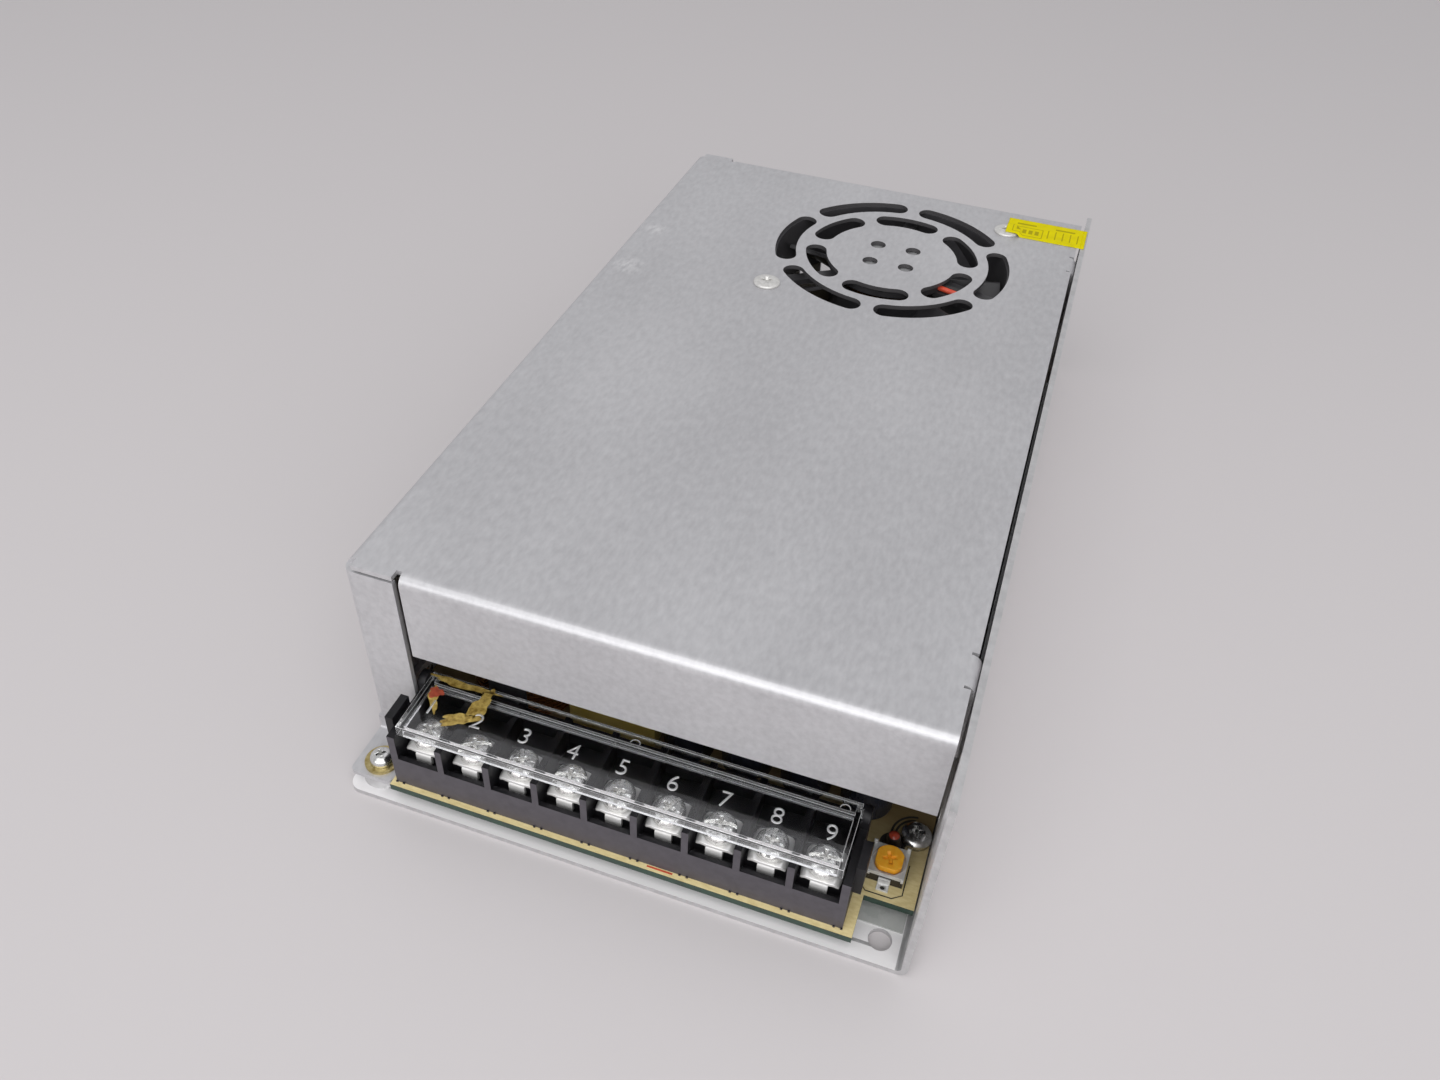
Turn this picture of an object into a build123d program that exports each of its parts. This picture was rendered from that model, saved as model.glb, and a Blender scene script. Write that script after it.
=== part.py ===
from build123d import *
import os
from math import cos, sin, tan, radians

# Enclosed switching power supply with a cooling fan, in millimetres.
# X runs across the case, Y from the terminal end to the rear, Z up.
# The origin is the middle of the footprint, on the surface that the case stands on.

os.makedirs("parts", exist_ok=True)

# Case
case_length = 200.0
case_width = 110.0
case_height = 49.0
chassis_sheet = 1.2
chassis_bend = 1.0
cover_sheet = 1.0
cover_bend = 1.0
front_shelf = 12.8
rear_shelf = 4.0
corner_radius = 2.5
side_gap = 0.9
sheet_gap = 0.1
thread_gap = 0.05

# Places inside the case are given in columns across it and rows along it.
column = case_width / 22
row = case_length / 40

case_left = -case_width / 2
case_right = case_width / 2
case_front = -case_length / 2
case_rear = case_length / 2
wall_inner = case_right - chassis_sheet
cover_front = case_front + front_shelf
cover_rear = case_rear - rear_shelf
cover_right = wall_inner - side_gap
cover_under = case_height - cover_sheet
cover_left_inner = case_left + cover_sheet
cover_top_mid = case_height - cover_sheet / 2
fold_run = cover_bend + cover_sheet
fold_front = cover_front + fold_run
fold_rear = cover_rear - fold_run

# Formed bosses that carry the board and the foot of the cover
boss_height = 2.4
boss_top_radius = 2.9
boss_base_radius = 4.0
boss_wall = 0.9
screw_radius = 1.5
board_bottom = chassis_sheet + boss_height
board_sheet = 1.6
board_top = board_bottom + board_sheet

# Foot of the cover: a tab at the bottom of the front left flap
flap_width = 2 * column
flap_gap = 1.2
flap_top_gap = 0.5
flap_bottom = 7.0
flap_chamfer = 1.5
foot_front = case_front + 1.5
foot_left_inset = 0.2
foot_corner_radius = 1.2
foot_right = case_left + flap_width - 0.9
foot_screw_x = case_left + 5.0
foot_screw_y = case_front + 5.4

# Holes for fixing the case
corner_hole_radius = 2.15
corner_hole_from_side = 5.9
corner_hole_from_front = 4.7
fixing_radius = 2.0
fixing_spacing_x = 10 * column
fixing_spacing_y = 30 * row
fixing_collar_radius = 3.2
fixing_collar_height = 1.2
side_fixing_height = 12.5
corner_hole_x = case_right - corner_hole_from_side
corner_hole_y = case_front + corner_hole_from_front

# Screws through the sides into the cover's tabs and the chassis lip
side_screw_spacing = 28.8 * row
side_screw_height = 38.0
side_tab_width = 7.0
side_tab_bottom = 31.0
tab_relief = 0.6
countersink_radius = 2.5
lip_height = 9.0
lip_screw_height = 5.5
lip_end_gap = 3.0

# Fan and grille
fan_size = 60.0
fan_depth = 15.0
fan_x = case_right - 15.4 - fan_size / 2
fan_y = cover_rear - 7.8 - fan_size / 2
fan_hole_spacing = fan_size - 10.0
fan_bore_radius = 0.48 * fan_size
fan_hub_radius = 15.5
grille_outer_radius = 26.6
grille_outer_width = 5.2
grille_outer_arc = 42.0
grille_inner_radius = 18.9
grille_inner_width = 5.2
grille_inner_arc = 34.0
grille_hole_radius = 1.9
grille_hole_pitch = 9.0
slots_per_ring = 6
fan_top = cover_under
fan_bottom = fan_top - fan_depth

# Hexagonal ventilation mesh in the left side and the rear
vent_width = 5.2
vent_pitch = 7.0
vents_per_side_row = 15
vents_per_rear_row = 11
vent_rows = 4
vent_height = 27.0

# Board outline
board_gap = 0.3
board_front = case_front + 0.9
board_rear = cover_rear - 5.0
board_right = wall_inner - board_gap
board_left = cover_left_inner + chassis_sheet + sheet_gap + board_gap
notch_left = case_right - 10.55
notch_back = case_front + 9.7
foot_notch_right = foot_right + board_gap
foot_notch_back = cover_front + cover_sheet + board_gap
board_screw_front_y = case_front + 24.5
board_screw_rear_y = board_rear - 6.0
board_screw_right_x = wall_inner - 3.1
board_screw_left_x = board_left + 5.0
film_sheet = 0.3

# Terminal block
bays = 9
bay_pitch = 1.9 * column
barrier = 1.3
end_wall = 1.5
block_x = -0.22 * column
block_front = board_front + 1.1
block_depth = 15.4
block_back = block_front + block_depth
front_wall = 1.0
front_wall_height = 7.4
block_height = 13.5
floor_height = 5.4
ledge_height = 7.8
ledge_from_front = 2.7
back_wall = 2.0
back_wall_height = 12.4
bay_span = bays * bay_pitch
inner_half = (bay_span - barrier) / 2
block_half = inner_half + end_wall
block_top = board_top + block_height
ear_depth = 1.6
ear_length = 5.8
ear_from_front = 2.6
ear_above = 1.9
ear_drop = 5.5

# Contacts, clamps and screws of the terminals
contact_sheet = 0.8
tongue_width = 3.6
tongue_drop = 2.2
clamp_width = bay_pitch - barrier - contact_sheet
clamp_length = 6.6
clamp_lip = 0.8
contact_width = clamp_width - 2 * (clamp_lip + sheet_gap)
terminal_screw_y = block_front + 5.1
terminal_screw_radius = 1.75
terminal_head_radius = 3.0
terminal_head_height = 2.2
pin_width = 1.4

# Clear terminal cover, hinged at its rear ends
lid_above = 0.3
lid_height = 2.4
lid_sheet = 1.2
lid_rim = 1.0
lid_end_gap = 0.3
lid_front_inset = 0.8
lid_pin_radius = 0.8
hinge_gap = 0.06
hinge_lug_radius = 1.9

# Screws of the case
shank_radius = screw_radius - thread_gap
case_screw_head_radius = 3.2
case_screw_head_height = 0.9
side_screw_length = 5.0
lip_screw_length = 2.4
foot_head_radius = 2.7
foot_head_height = 2.0
foot_washer_radius = 3.3
foot_washer_sheet = 0.5
board_head_radius = 2.9
board_head_height = 2.0
nut_across_flats = 5.5
nut_height = 2.4

# Voltage trimmer and indicator lamp on the board beside the terminals
trim_x = case_right - 7.8
trim_y = case_front + 16.3
trim_width = 6.6
trim_length = 6.2
trim_height = 2.9
trim_recess = 0.7
trim_rotor_radius = 2.7
trim_rotor_height = 1.4
trim_pin_radius = 0.8
trim_tab_width = 2.2
trim_tab_sheet = 0.4
trim_tab_reach = 1.8
lamp_x = case_right - 8.1
lamp_y = case_front + 21.8
lamp_radius = 1.3
lamp_height = 3.2

# Inside of the fan
fan_plate = 1.4
fan_hub_top = fan_top - 0.6
fan_hub_under = fan_hub_top - fan_plate
fan_label_sheet = 0.2
fan_strut_width = 3.0
fan_lead_strut_width = 7.0
fan_lead_strut_angle = -18.0
fan_strut_angles = [90.0, 215.0]
fan_post_radius = 4.2
fan_shaft_radius = 1.0
fan_rotor_radius = 14.5
fan_rotor_sheet = 1.2
fan_rotor_gap = 0.8
fan_stator_radius = 12.3
fan_blades = 7
fan_blade_tip = fan_bore_radius - 0.8
fan_blade_sheet = 1.2
running_gap = 0.05
lead_radius = 0.65
lead_bend = 4.0
lead_reach = fan_size / 2 + 7.0
red_lead_offset = -2.2
black_lead_offset = -0.7
header_height = 6.8

# Power parts on the board
bulk_radius = 2.2 * column
bulk_height = 35.0
bulk_x = -7 * column
bulk_ys = [-3.6 * row, 1.6 * row]
transformer_x = 0.4 * column
transformer_y = -5.6 * row
core_width = 7 * column
core_depth = 2.4 * row
core_height = 30.0
core_leg = column
core_centre_leg = 2.2 * column
core_seat = 3.0
bobbin_depth = 5.2 * row
bobbin_sheet = 1.2
bobbin_flange = 1.5
wire_gap = 0.05
toroid_outer = 2 * column
toroid_inner = 1.1 * column
toroid_height = 8.0
toroid_wire = 1.0
choke_at = (-6.5 * column, -13.2 * row)
output_toroid_at = (6.8 * column, -9.6 * row)
output_capacitor_radius = column
output_capacitor_height = 20.0
output_capacitor_xs = [0.8 * column, 3.2 * column, 5.6 * column, 8 * column]
output_capacitor_y = -14 * row

# Power packages clamped to the right wall
wall_film = 0.3
package_depth = 4.8
package_width = 3.2 * row
package_height = 20.0
package_bottom = 18.0
transistor_ys = [-10 * row, -6 * row]
diode_ys = [-0.4 * row, 3.6 * row]
clamp_screw_ys = [-8 * row, 1.6 * row]
clamp_height = 28.0
clamp_bar_sheet = 1.0
clamp_bar_length = 6.4 * row
clamp_bar_height = 6.0
lead_width = 1.2

# Seal over the fan screw and the gap beside the right wall
seal_left = fan_x + fan_hole_spacing / 2 - 0.3
seal_right = case_right - 0.3
seal_front = fan_y + fan_hole_spacing / 2 - 2.0
seal_rear = seal_front + 10.3
seal_sheet = 0.15
seal_gap = 0.02
seal_tent = 0.9

# Folded sheet: the section follows a centre line with rounded bends.
def folded_section(points, sheet, inner_radius):
    with BuildSketch() as section:
        with BuildLine():
            FilletPolyline(*points, radius=inner_radius + sheet / 2)
        trace(line_width=sheet)
    return section.sketch


# Chassis: bottom plate and right wall in one aluminium sheet, with a low lip on the left.
board_screws_at = [
    (board_screw_right_x, board_screw_front_y),
    (board_screw_left_x, board_screw_front_y),
    (board_screw_right_x, board_screw_rear_y),
    (board_screw_left_x, board_screw_rear_y),
]
foot_screw_at = (foot_screw_x, foot_screw_y)
bosses_at = board_screws_at + [foot_screw_at]
plate_inset = cover_left_inner + sheet_gap
side_screws_y = [-side_screw_spacing / 2, side_screw_spacing / 2]
left_face = Plane(origin=(case_left, 0, 0), x_dir=(0, -1, 0), z_dir=(-1, 0, 0))
side_fixings_y = [-fixing_spacing_y / 2, fixing_spacing_y / 2]

with BuildPart() as chassis:
    with BuildSketch(Plane.XZ.offset(-case_front)):
        add(folded_section(
            [
                (case_left, chassis_sheet / 2),
                (case_right - chassis_sheet / 2, chassis_sheet / 2),
                (case_right - chassis_sheet / 2, case_height),
            ],
            chassis_sheet, chassis_bend,
        ))
    extrude(amount=-case_length)
    # The plate steps in where the cover's left side passes it.
    with BuildSketch(Plane.XY):
        with Locations((case_left, (cover_front - flap_gap))):
            Rectangle(
                plate_inset - case_left, case_rear - cover_front + flap_gap,
                align=(Align.MIN, Align.MIN),
            )
    extrude(amount=chassis_sheet, mode=Mode.SUBTRACT)
    # Lip that the cover's left side is screwed to.
    with BuildSketch(Plane.XZ.offset(-(fold_front + lip_end_gap))):
        add(folded_section(
            [
                (plate_inset + 4 * chassis_sheet, chassis_sheet / 2),
                (plate_inset + chassis_sheet / 2, chassis_sheet / 2),
                (plate_inset + chassis_sheet / 2, lip_height),
            ],
            chassis_sheet, chassis_bend / 2,
        ))
    extrude(amount=-(fold_rear - fold_front - 2 * lip_end_gap))
    # Bosses pressed up from the plate, hollow below and tapped.
    with Locations(*[(x, y, chassis_sheet) for x, y in bosses_at]):
        Cone(
            boss_base_radius, boss_top_radius, boss_height,
            align=(Align.CENTER, Align.CENTER, Align.MIN),
        )
    with Locations(*[(x, y, 0) for x, y in bosses_at]):
        Cone(
            boss_base_radius - boss_wall, boss_top_radius - boss_wall, boss_height,
            align=(Align.CENTER, Align.CENTER, Align.MIN), mode=Mode.SUBTRACT,
        )
    with Locations(*[(x, y, board_bottom) for x, y in bosses_at]):
        Hole(screw_radius, depth=board_bottom)
    # Tapped collars of the four bottom fixings.
    with BuildSketch(Plane.XY.offset(chassis_sheet)):
        with GridLocations(fixing_spacing_x, fixing_spacing_y, 2, 2):
            Circle(fixing_collar_radius)
    extrude(amount=fixing_collar_height)
    with GridLocations(fixing_spacing_x, fixing_spacing_y, 2, 2):
        with Locations((0, 0, chassis_sheet + fixing_collar_height)):
            Hole(fixing_radius, depth=chassis_sheet + fixing_collar_height)
    # Plain hole in the front right corner.
    with Locations((corner_hole_x, corner_hole_y, chassis_sheet)):
        Hole(corner_hole_radius, depth=chassis_sheet)
    # Side fixings and countersunk screw holes in the right wall.
    with Locations(Plane.YZ.offset(case_right)):
        with Locations(*[(y, side_fixing_height) for y in side_fixings_y]):
            Hole(fixing_radius, depth=chassis_sheet)
        with Locations(*[(y, clamp_height) for y in clamp_screw_ys]):
            Hole(screw_radius, depth=chassis_sheet)
        with Locations(*[(y, side_screw_height) for y in side_screws_y]):
            CounterSinkHole(screw_radius, countersink_radius, depth=chassis_sheet)
    # Screw holes in the lip.
    with Locations(Plane.YZ.offset(plate_inset + chassis_sheet)):
        with Locations(*[(y, lip_screw_height) for y in side_screws_y]):
            Hole(screw_radius, depth=chassis_sheet)
    for corner_y in (case_front, case_rear):
        corner = chassis.edges().filter_by(Axis.Z).sort_by_distance((case_left, corner_y, 0))[0]
        fillet(corner, corner_radius)

chassis.part.label = "chassis"
export_step(chassis.part, "parts/chassis.step")


# Cover: top, left side and the four end flaps, folded from one zinc-coated sheet.
flap_right = case_left + flap_width
flange_left = flap_right + flap_gap
flange_bottom = case_height - 19.5
rear_flange_bottom = chassis_sheet + sheet_gap
side_bottom = sheet_gap
flap_top = cover_under - flap_top_gap
tab_face = wall_inner - sheet_gap

fan_screws_at = [
    (fan_x - fan_hole_spacing / 2, fan_y - fan_hole_spacing / 2),
    (fan_x + fan_hole_spacing / 2, fan_y + fan_hole_spacing / 2),
]

with BuildPart() as cover:
    # Top sheet and left side.
    with BuildSketch(Plane.XZ.offset(-fold_front)):
        add(folded_section(
            [
                (case_left + cover_sheet / 2, side_bottom),
                (case_left + cover_sheet / 2, cover_top_mid),
                (cover_right, cover_top_mid),
            ],
            cover_sheet, cover_bend,
        ))
    extrude(amount=-(fold_rear - fold_front))
    # Front flange and rear flange, bent down from the top.
    with BuildSketch(Plane.YZ.offset(flange_left)):
        add(folded_section(
            [
                (fold_front + cover_bend, cover_top_mid),
                (cover_front + cover_sheet / 2, cover_top_mid),
                (cover_front + cover_sheet / 2, flange_bottom),
            ],
            cover_sheet, cover_bend,
        ))
        add(folded_section(
            [
                (fold_rear - cover_bend, cover_top_mid),
                (cover_rear - cover_sheet / 2, cover_top_mid),
                (cover_rear - cover_sheet / 2, rear_flange_bottom),
            ],
            cover_sheet, cover_bend,
        ))
    extrude(amount=cover_right - flange_left)
    # Front left flap and rear left flap, bent in from the side.
    with BuildSketch(Plane.XY.offset(flap_bottom)):
        add(folded_section(
            [
                (case_left + cover_sheet / 2, fold_front + cover_bend),
                (case_left + cover_sheet / 2, cover_front + cover_sheet / 2),
                (flap_right, cover_front + cover_sheet / 2),
            ],
            cover_sheet, cover_bend,
        ))
    extrude(amount=flap_top - flap_bottom)
    flap_corner = cover.edges().filter_by(Axis.Y).sort_by_distance((flap_right, cover_front, flap_bottom))[0]
    chamfer(flap_corner, flap_chamfer)
    with BuildSketch(Plane.XY.offset(rear_flange_bottom)):
        add(folded_section(
            [
                (case_left + cover_sheet / 2, fold_rear - cover_bend),
                (case_left + cover_sheet / 2, cover_rear - cover_sheet / 2),
                (flap_right, cover_rear - cover_sheet / 2),
            ],
            cover_sheet, cover_bend,
        ))
    extrude(amount=flap_top - rear_flange_bottom)
    # The top sheet reaches out over both flaps, with a relief at the folded corner.
    with BuildSketch(Plane.XY.offset(cover_under)):
        with Locations((case_left + fold_run, cover_front + sheet_gap)):
            Rectangle(flap_width - fold_run, fold_run, align=(Align.MIN, Align.MIN))
        with Locations((case_left + fold_run, cover_rear - sheet_gap)):
            Rectangle(flap_width - fold_run, fold_run, align=(Align.MIN, Align.MAX))
    extrude(amount=cover_sheet)
    # Foot: a tab bent forward from the front left flap.
    with BuildSketch(Plane.YZ.offset(case_left + foot_left_inset)):
        add(folded_section(
            [
                (cover_front + cover_sheet / 2, flap_bottom + cover_bend),
                (cover_front + cover_sheet / 2, board_bottom + cover_sheet / 2),
                (foot_front, board_bottom + cover_sheet / 2),
            ],
            cover_sheet, cover_bend / 2,
        ))
    extrude(amount=foot_right - case_left - foot_left_inset)
    foot_corners = cover.edges().filter_by(Axis.Z).group_by(Axis.Y)[0]
    fillet(foot_corners, foot_corner_radius)
    with Locations((foot_screw_x, foot_screw_y, board_bottom + cover_sheet)):
        Hole(screw_radius + thread_gap, depth=cover_sheet)
    # Tabs bent down against the right wall, each between two reliefs.
    for tab_y in side_screws_y:
        with BuildSketch(Plane.XY.offset(case_height)):
            with Locations((cover_right, tab_y)):
                Rectangle(
                    cover_right - tab_face + fold_run, side_tab_width + 2 * tab_relief,
                    align=(Align.MAX, Align.CENTER),
                )
        extrude(amount=-cover_sheet, mode=Mode.SUBTRACT)
        with BuildSketch(Plane.XZ.offset(-(tab_y - side_tab_width / 2))):
            add(folded_section(
                [
                    (cover_right - 2 * fold_run, cover_top_mid),
                    (tab_face - cover_sheet / 2, cover_top_mid),
                    (tab_face - cover_sheet / 2, side_tab_bottom),
                ],
                cover_sheet, cover_bend,
            ))
        extrude(amount=-side_tab_width)
    with Locations(Plane.YZ.offset(tab_face)):
        with Locations(*[(y, side_screw_height) for y in side_screws_y]):
            Hole(screw_radius, depth=cover_sheet)
    # Countersunk screw holes low in the left side.
    with Locations(left_face):
        with Locations(*[(-y, lip_screw_height) for y in side_screws_y]):
            CounterSinkHole(screw_radius, countersink_radius, depth=cover_sheet)
    # Grille: two rings of arc slots, four middle holes and the fan's screw holes.
    with BuildSketch(Plane.XY.offset(case_height)):
        with Locations((fan_x, fan_y)):
            with PolarLocations(0, slots_per_ring):
                SlotArc(
                    CenterArc((0, 0), grille_outer_radius, -grille_outer_arc / 2, grille_outer_arc),
                    grille_outer_width,
                )
            with PolarLocations(0, slots_per_ring, start_angle=180 / slots_per_ring):
                SlotArc(
                    CenterArc((0, 0), grille_inner_radius, -grille_inner_arc / 2, grille_inner_arc),
                    grille_inner_width,
                )
            with GridLocations(grille_hole_pitch, grille_hole_pitch, 2, 2):
                Circle(grille_hole_radius)
        with Locations(*fan_screws_at):
            Circle(screw_radius + thread_gap)
    extrude(amount=-cover_sheet, mode=Mode.SUBTRACT)
    # Hexagonal mesh in the left side and in the rear flange.
    with BuildSketch(Plane.YZ.offset(case_left)):
        with Locations((0, vent_height)):
            with HexLocations(vent_pitch / 2, vents_per_side_row, vent_rows):
                RegularPolygon(vent_width / 2, 6, major_radius=False, rotation=30)
    extrude(amount=cover_sheet, mode=Mode.SUBTRACT)
    with BuildSketch(Plane.XZ.offset(-(cover_rear - cover_sheet))):
        with Locations(((flange_left + cover_right) / 2, vent_height)):
            with HexLocations(vent_pitch / 2, vents_per_rear_row, vent_rows):
                RegularPolygon(vent_width / 2, 6, major_radius=False, rotation=30)
    extrude(amount=-cover_sheet, mode=Mode.SUBTRACT)

cover.part.label = "cover"
export_step(cover.part, "parts/cover.step")


# Insulation sheet: thin film on the plate under the board, with openings around the bosses.
film_left = plate_inset + chassis_sheet + boss_wall
film_right = wall_inner - chassis_sheet
film_front = case_front + 7.0
film_rear = cover_rear - 2 * cover_sheet
with BuildPart() as insulation_sheet:
    with BuildSketch(Plane.XY.offset(chassis_sheet)):
        with Locations((film_left, film_front)):
            Rectangle(film_right - film_left, film_rear - film_front, align=(Align.MIN, Align.MIN))
        with Locations(*bosses_at):
            RegularPolygon(boss_base_radius + board_gap, 8, major_radius=False, mode=Mode.SUBTRACT)
        with GridLocations(fixing_spacing_x, fixing_spacing_y, 2, 2):
            RegularPolygon(fixing_collar_radius + board_gap, 8, major_radius=False, mode=Mode.SUBTRACT)
    extrude(amount=film_sheet)

insulation_sheet.part.label = "insulation_sheet"
export_step(insulation_sheet.part, "parts/insulation_sheet.step")


# Circuit board: cut away at the front right for the fixing hole and at the front left for the foot.
with BuildPart() as pcb:
    with BuildSketch(Plane.XY.offset(board_bottom)):
        with Locations((board_left, board_front)):
            Rectangle(board_right - board_left, board_rear - board_front, align=(Align.MIN, Align.MIN))
        with Locations((notch_left, board_front)):
            Rectangle(
                board_right - notch_left, notch_back - board_front,
                align=(Align.MIN, Align.MIN), mode=Mode.SUBTRACT,
            )
        with Locations((board_left, board_front)):
            Rectangle(
                foot_notch_right - board_left, foot_notch_back - board_front,
                align=(Align.MIN, Align.MIN), mode=Mode.SUBTRACT,
            )
        with Locations(*board_screws_at):
            Circle(screw_radius + thread_gap, mode=Mode.SUBTRACT)
    extrude(amount=board_sheet)

pcb.part.label = "pcb"
export_step(pcb.part, "parts/pcb.step")

with BuildPart() as pcb_screws:
    with Locations(*[(x, y, board_top) for x, y in board_screws_at]):
        Cylinder(board_head_radius, board_head_height, align=(Align.CENTER, Align.CENTER, Align.MIN))
    board_heads = pcb_screws.edges().group_by(Axis.Z)[-1]
    chamfer(board_heads, board_head_height / 4)
    with Locations(*[(x, y, board_top) for x, y in board_screws_at]):
        Cylinder(shank_radius, board_top - chassis_sheet / 2, align=(Align.CENTER, Align.CENTER, Align.MAX))

pcb_screws.part.label = "pcb_screws"
export_step(pcb_screws.part, "parts/pcb_screws.step")


# Screws and washer that hold the cover.
foot_top = board_bottom + cover_sheet
with BuildPart() as foot_washer:
    with Locations((foot_screw_x, foot_screw_y, foot_top)):
        Cylinder(foot_washer_radius, foot_washer_sheet, align=(Align.CENTER, Align.CENTER, Align.MIN))
    with Locations((foot_screw_x, foot_screw_y, foot_top + foot_washer_sheet)):
        Hole(screw_radius + thread_gap, depth=foot_washer_sheet)

foot_washer.part.label = "foot_washer"
export_step(foot_washer.part, "parts/foot_washer.step")

with BuildPart() as foot_screw:
    with Locations((foot_screw_x, foot_screw_y, foot_top + foot_washer_sheet)):
        Cylinder(foot_head_radius, foot_head_height, align=(Align.CENTER, Align.CENTER, Align.MIN))
    foot_head = foot_screw.edges().group_by(Axis.Z)[-1]
    chamfer(foot_head, foot_head_height / 2)
    with Locations((foot_screw_x, foot_screw_y, foot_top + foot_washer_sheet)):
        Cylinder(
            shank_radius, foot_top + foot_washer_sheet - chassis_sheet / 2,
            align=(Align.CENTER, Align.CENTER, Align.MAX),
        )

foot_screw.part.label = "foot_screw"
export_step(foot_screw.part, "parts/foot_screw.step")

countersink_depth = (countersink_radius - screw_radius) / tan(radians(41))
with BuildPart() as right_side_screws:
    with Locations(Plane.YZ.offset(case_right)):
        with Locations(*[(y, side_screw_height) for y in side_screws_y]):
            Cone(
                screw_radius - thread_gap, countersink_radius - thread_gap, countersink_depth,
                align=(Align.CENTER, Align.CENTER, Align.MAX),
            )
            Cylinder(shank_radius, side_screw_length, align=(Align.CENTER, Align.CENTER, Align.MAX))

right_side_screws.part.label = "right_side_screws"
export_step(right_side_screws.part, "parts/right_side_screws.step")

with BuildPart() as left_side_screws:
    with Locations(left_face):
        with Locations(*[(-y, lip_screw_height) for y in side_screws_y]):
            Cone(
                screw_radius - thread_gap, countersink_radius - thread_gap, countersink_depth,
                align=(Align.CENTER, Align.CENTER, Align.MAX),
            )
            Cylinder(shank_radius, lip_screw_length, align=(Align.CENTER, Align.CENTER, Align.MAX))

left_side_screws.part.label = "left_side_screws"
export_step(left_side_screws.part, "parts/left_side_screws.step")

with BuildPart() as fan_screws:
    with Locations(*[(x, y, case_height) for x, y in fan_screws_at]):
        Cylinder(case_screw_head_radius, case_screw_head_height, align=(Align.CENTER, Align.CENTER, Align.MIN))
    fan_heads = fan_screws.edges().group_by(Axis.Z)[-1]
    chamfer(fan_heads, case_screw_head_height / 3)
    with Locations(*[(x, y, case_height) for x, y in fan_screws_at]):
        Cylinder(
            shank_radius, case_height - fan_bottom + nut_height,
            align=(Align.CENTER, Align.CENTER, Align.MAX),
        )

fan_screws.part.label = "fan_screws"
export_step(fan_screws.part, "parts/fan_screws.step")

with BuildPart() as fan_nuts:
    with BuildSketch(Plane.XY.offset(fan_bottom - nut_height)):
        with Locations(*fan_screws_at):
            RegularPolygon(nut_across_flats / 2, 6, major_radius=False)
            Circle(screw_radius, mode=Mode.SUBTRACT)
    extrude(amount=nut_height)

fan_nuts.part.label = "fan_nuts"
export_step(fan_nuts.part, "parts/fan_nuts.step")


# Terminal block: one black moulding with nine bays between barriers.
ledge_front = block_front + ledge_from_front
ledge_top = board_top + ledge_height
floor_top = board_top + floor_height
pocket_radius = terminal_screw_radius + 0.35
pocket_depth = ledge_height - 3.0
contact_rear = block_back - back_wall - board_gap
pin_y = contact_rear - 1.0
lid_bottom = block_top + lid_above
lid_top = lid_bottom + lid_height
hinge_y = block_back - hinge_lug_radius
hinge_z = lid_bottom + lid_height / 2
hinge_hole_radius = lid_pin_radius + hinge_gap
barrier_round = 2.0
bay_centres = [block_x + (i - (bays - 1) / 2) * bay_pitch for i in range(bays)]
barrier_centres = [block_x + (i - bays / 2) * bay_pitch for i in range(1, bays)]
walls = [(x - barrier / 2, barrier) for x in barrier_centres]
walls += [(block_x - block_half, end_wall), (block_x + inner_half, end_wall)]
ear_front = block_front + ear_from_front
ear_bottom = block_top - ear_drop
ear_top = block_top + ear_above

with BuildPart() as terminal_block:
    # Base with the front wall, the trough, the ledge and the back wall.
    with BuildSketch(Plane.YZ.offset(block_x - block_half)):
        Polygon(
            (block_front, board_top),
            (block_back, board_top),
            (block_back, board_top + back_wall_height),
            (block_back - back_wall, board_top + back_wall_height),
            (block_back - back_wall, ledge_top),
            (ledge_front, ledge_top),
            (ledge_front, floor_top),
            (block_front + front_wall, floor_top),
            (block_front + front_wall, board_top + front_wall_height),
            (block_front, board_top + front_wall_height),
            align=None,
        )
    extrude(amount=2 * block_half)
    # Barriers and end walls.
    for wall_left, wall_width in walls:
        with BuildSketch(Plane.YZ.offset(wall_left)) as wall_outline:
            with Locations((block_front, board_top)):
                Rectangle(block_depth, block_height, align=(Align.MIN, Align.MIN))
            front_corner = wall_outline.vertices().sort_by_distance((wall_left, block_front, block_top))[0]
            fillet(front_corner, barrier_round)
        extrude(amount=wall_width)
    # Hinge lugs on the end walls and ears outside them.
    for lug_left, ear_left in [
        (block_x - block_half, block_x - block_half - ear_depth),
        (block_x + inner_half, block_x + block_half),
    ]:
        with BuildSketch(Plane.YZ.offset(lug_left)):
            with Locations((hinge_y, hinge_z)):
                Circle(hinge_lug_radius)
                Rectangle(2 * hinge_lug_radius, lid_height, align=(Align.CENTER, Align.MAX))
                Circle(hinge_hole_radius, mode=Mode.SUBTRACT)
        extrude(amount=end_wall)
        with BuildSketch(Plane.YZ.offset(ear_left)):
            with Locations((ear_front, ear_bottom)):
                Rectangle(ear_length, ear_top - ear_bottom, align=(Align.MIN, Align.MIN))
        extrude(amount=ear_depth)
    # Pockets below the screws and slots for the contacts' pins.
    with Locations(*[(x, terminal_screw_y, ledge_top) for x in bay_centres]):
        Hole(pocket_radius, depth=pocket_depth)
    with BuildSketch(Plane.XY.offset(board_top)):
        with Locations(*[(x, pin_y) for x in bay_centres]):
            Rectangle(pin_width + sheet_gap, contact_sheet + sheet_gap)
    extrude(amount=ledge_height, mode=Mode.SUBTRACT)

terminal_block.part.label = "terminal_block"
export_step(terminal_block.part, "parts/terminal_block.step")

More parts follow.
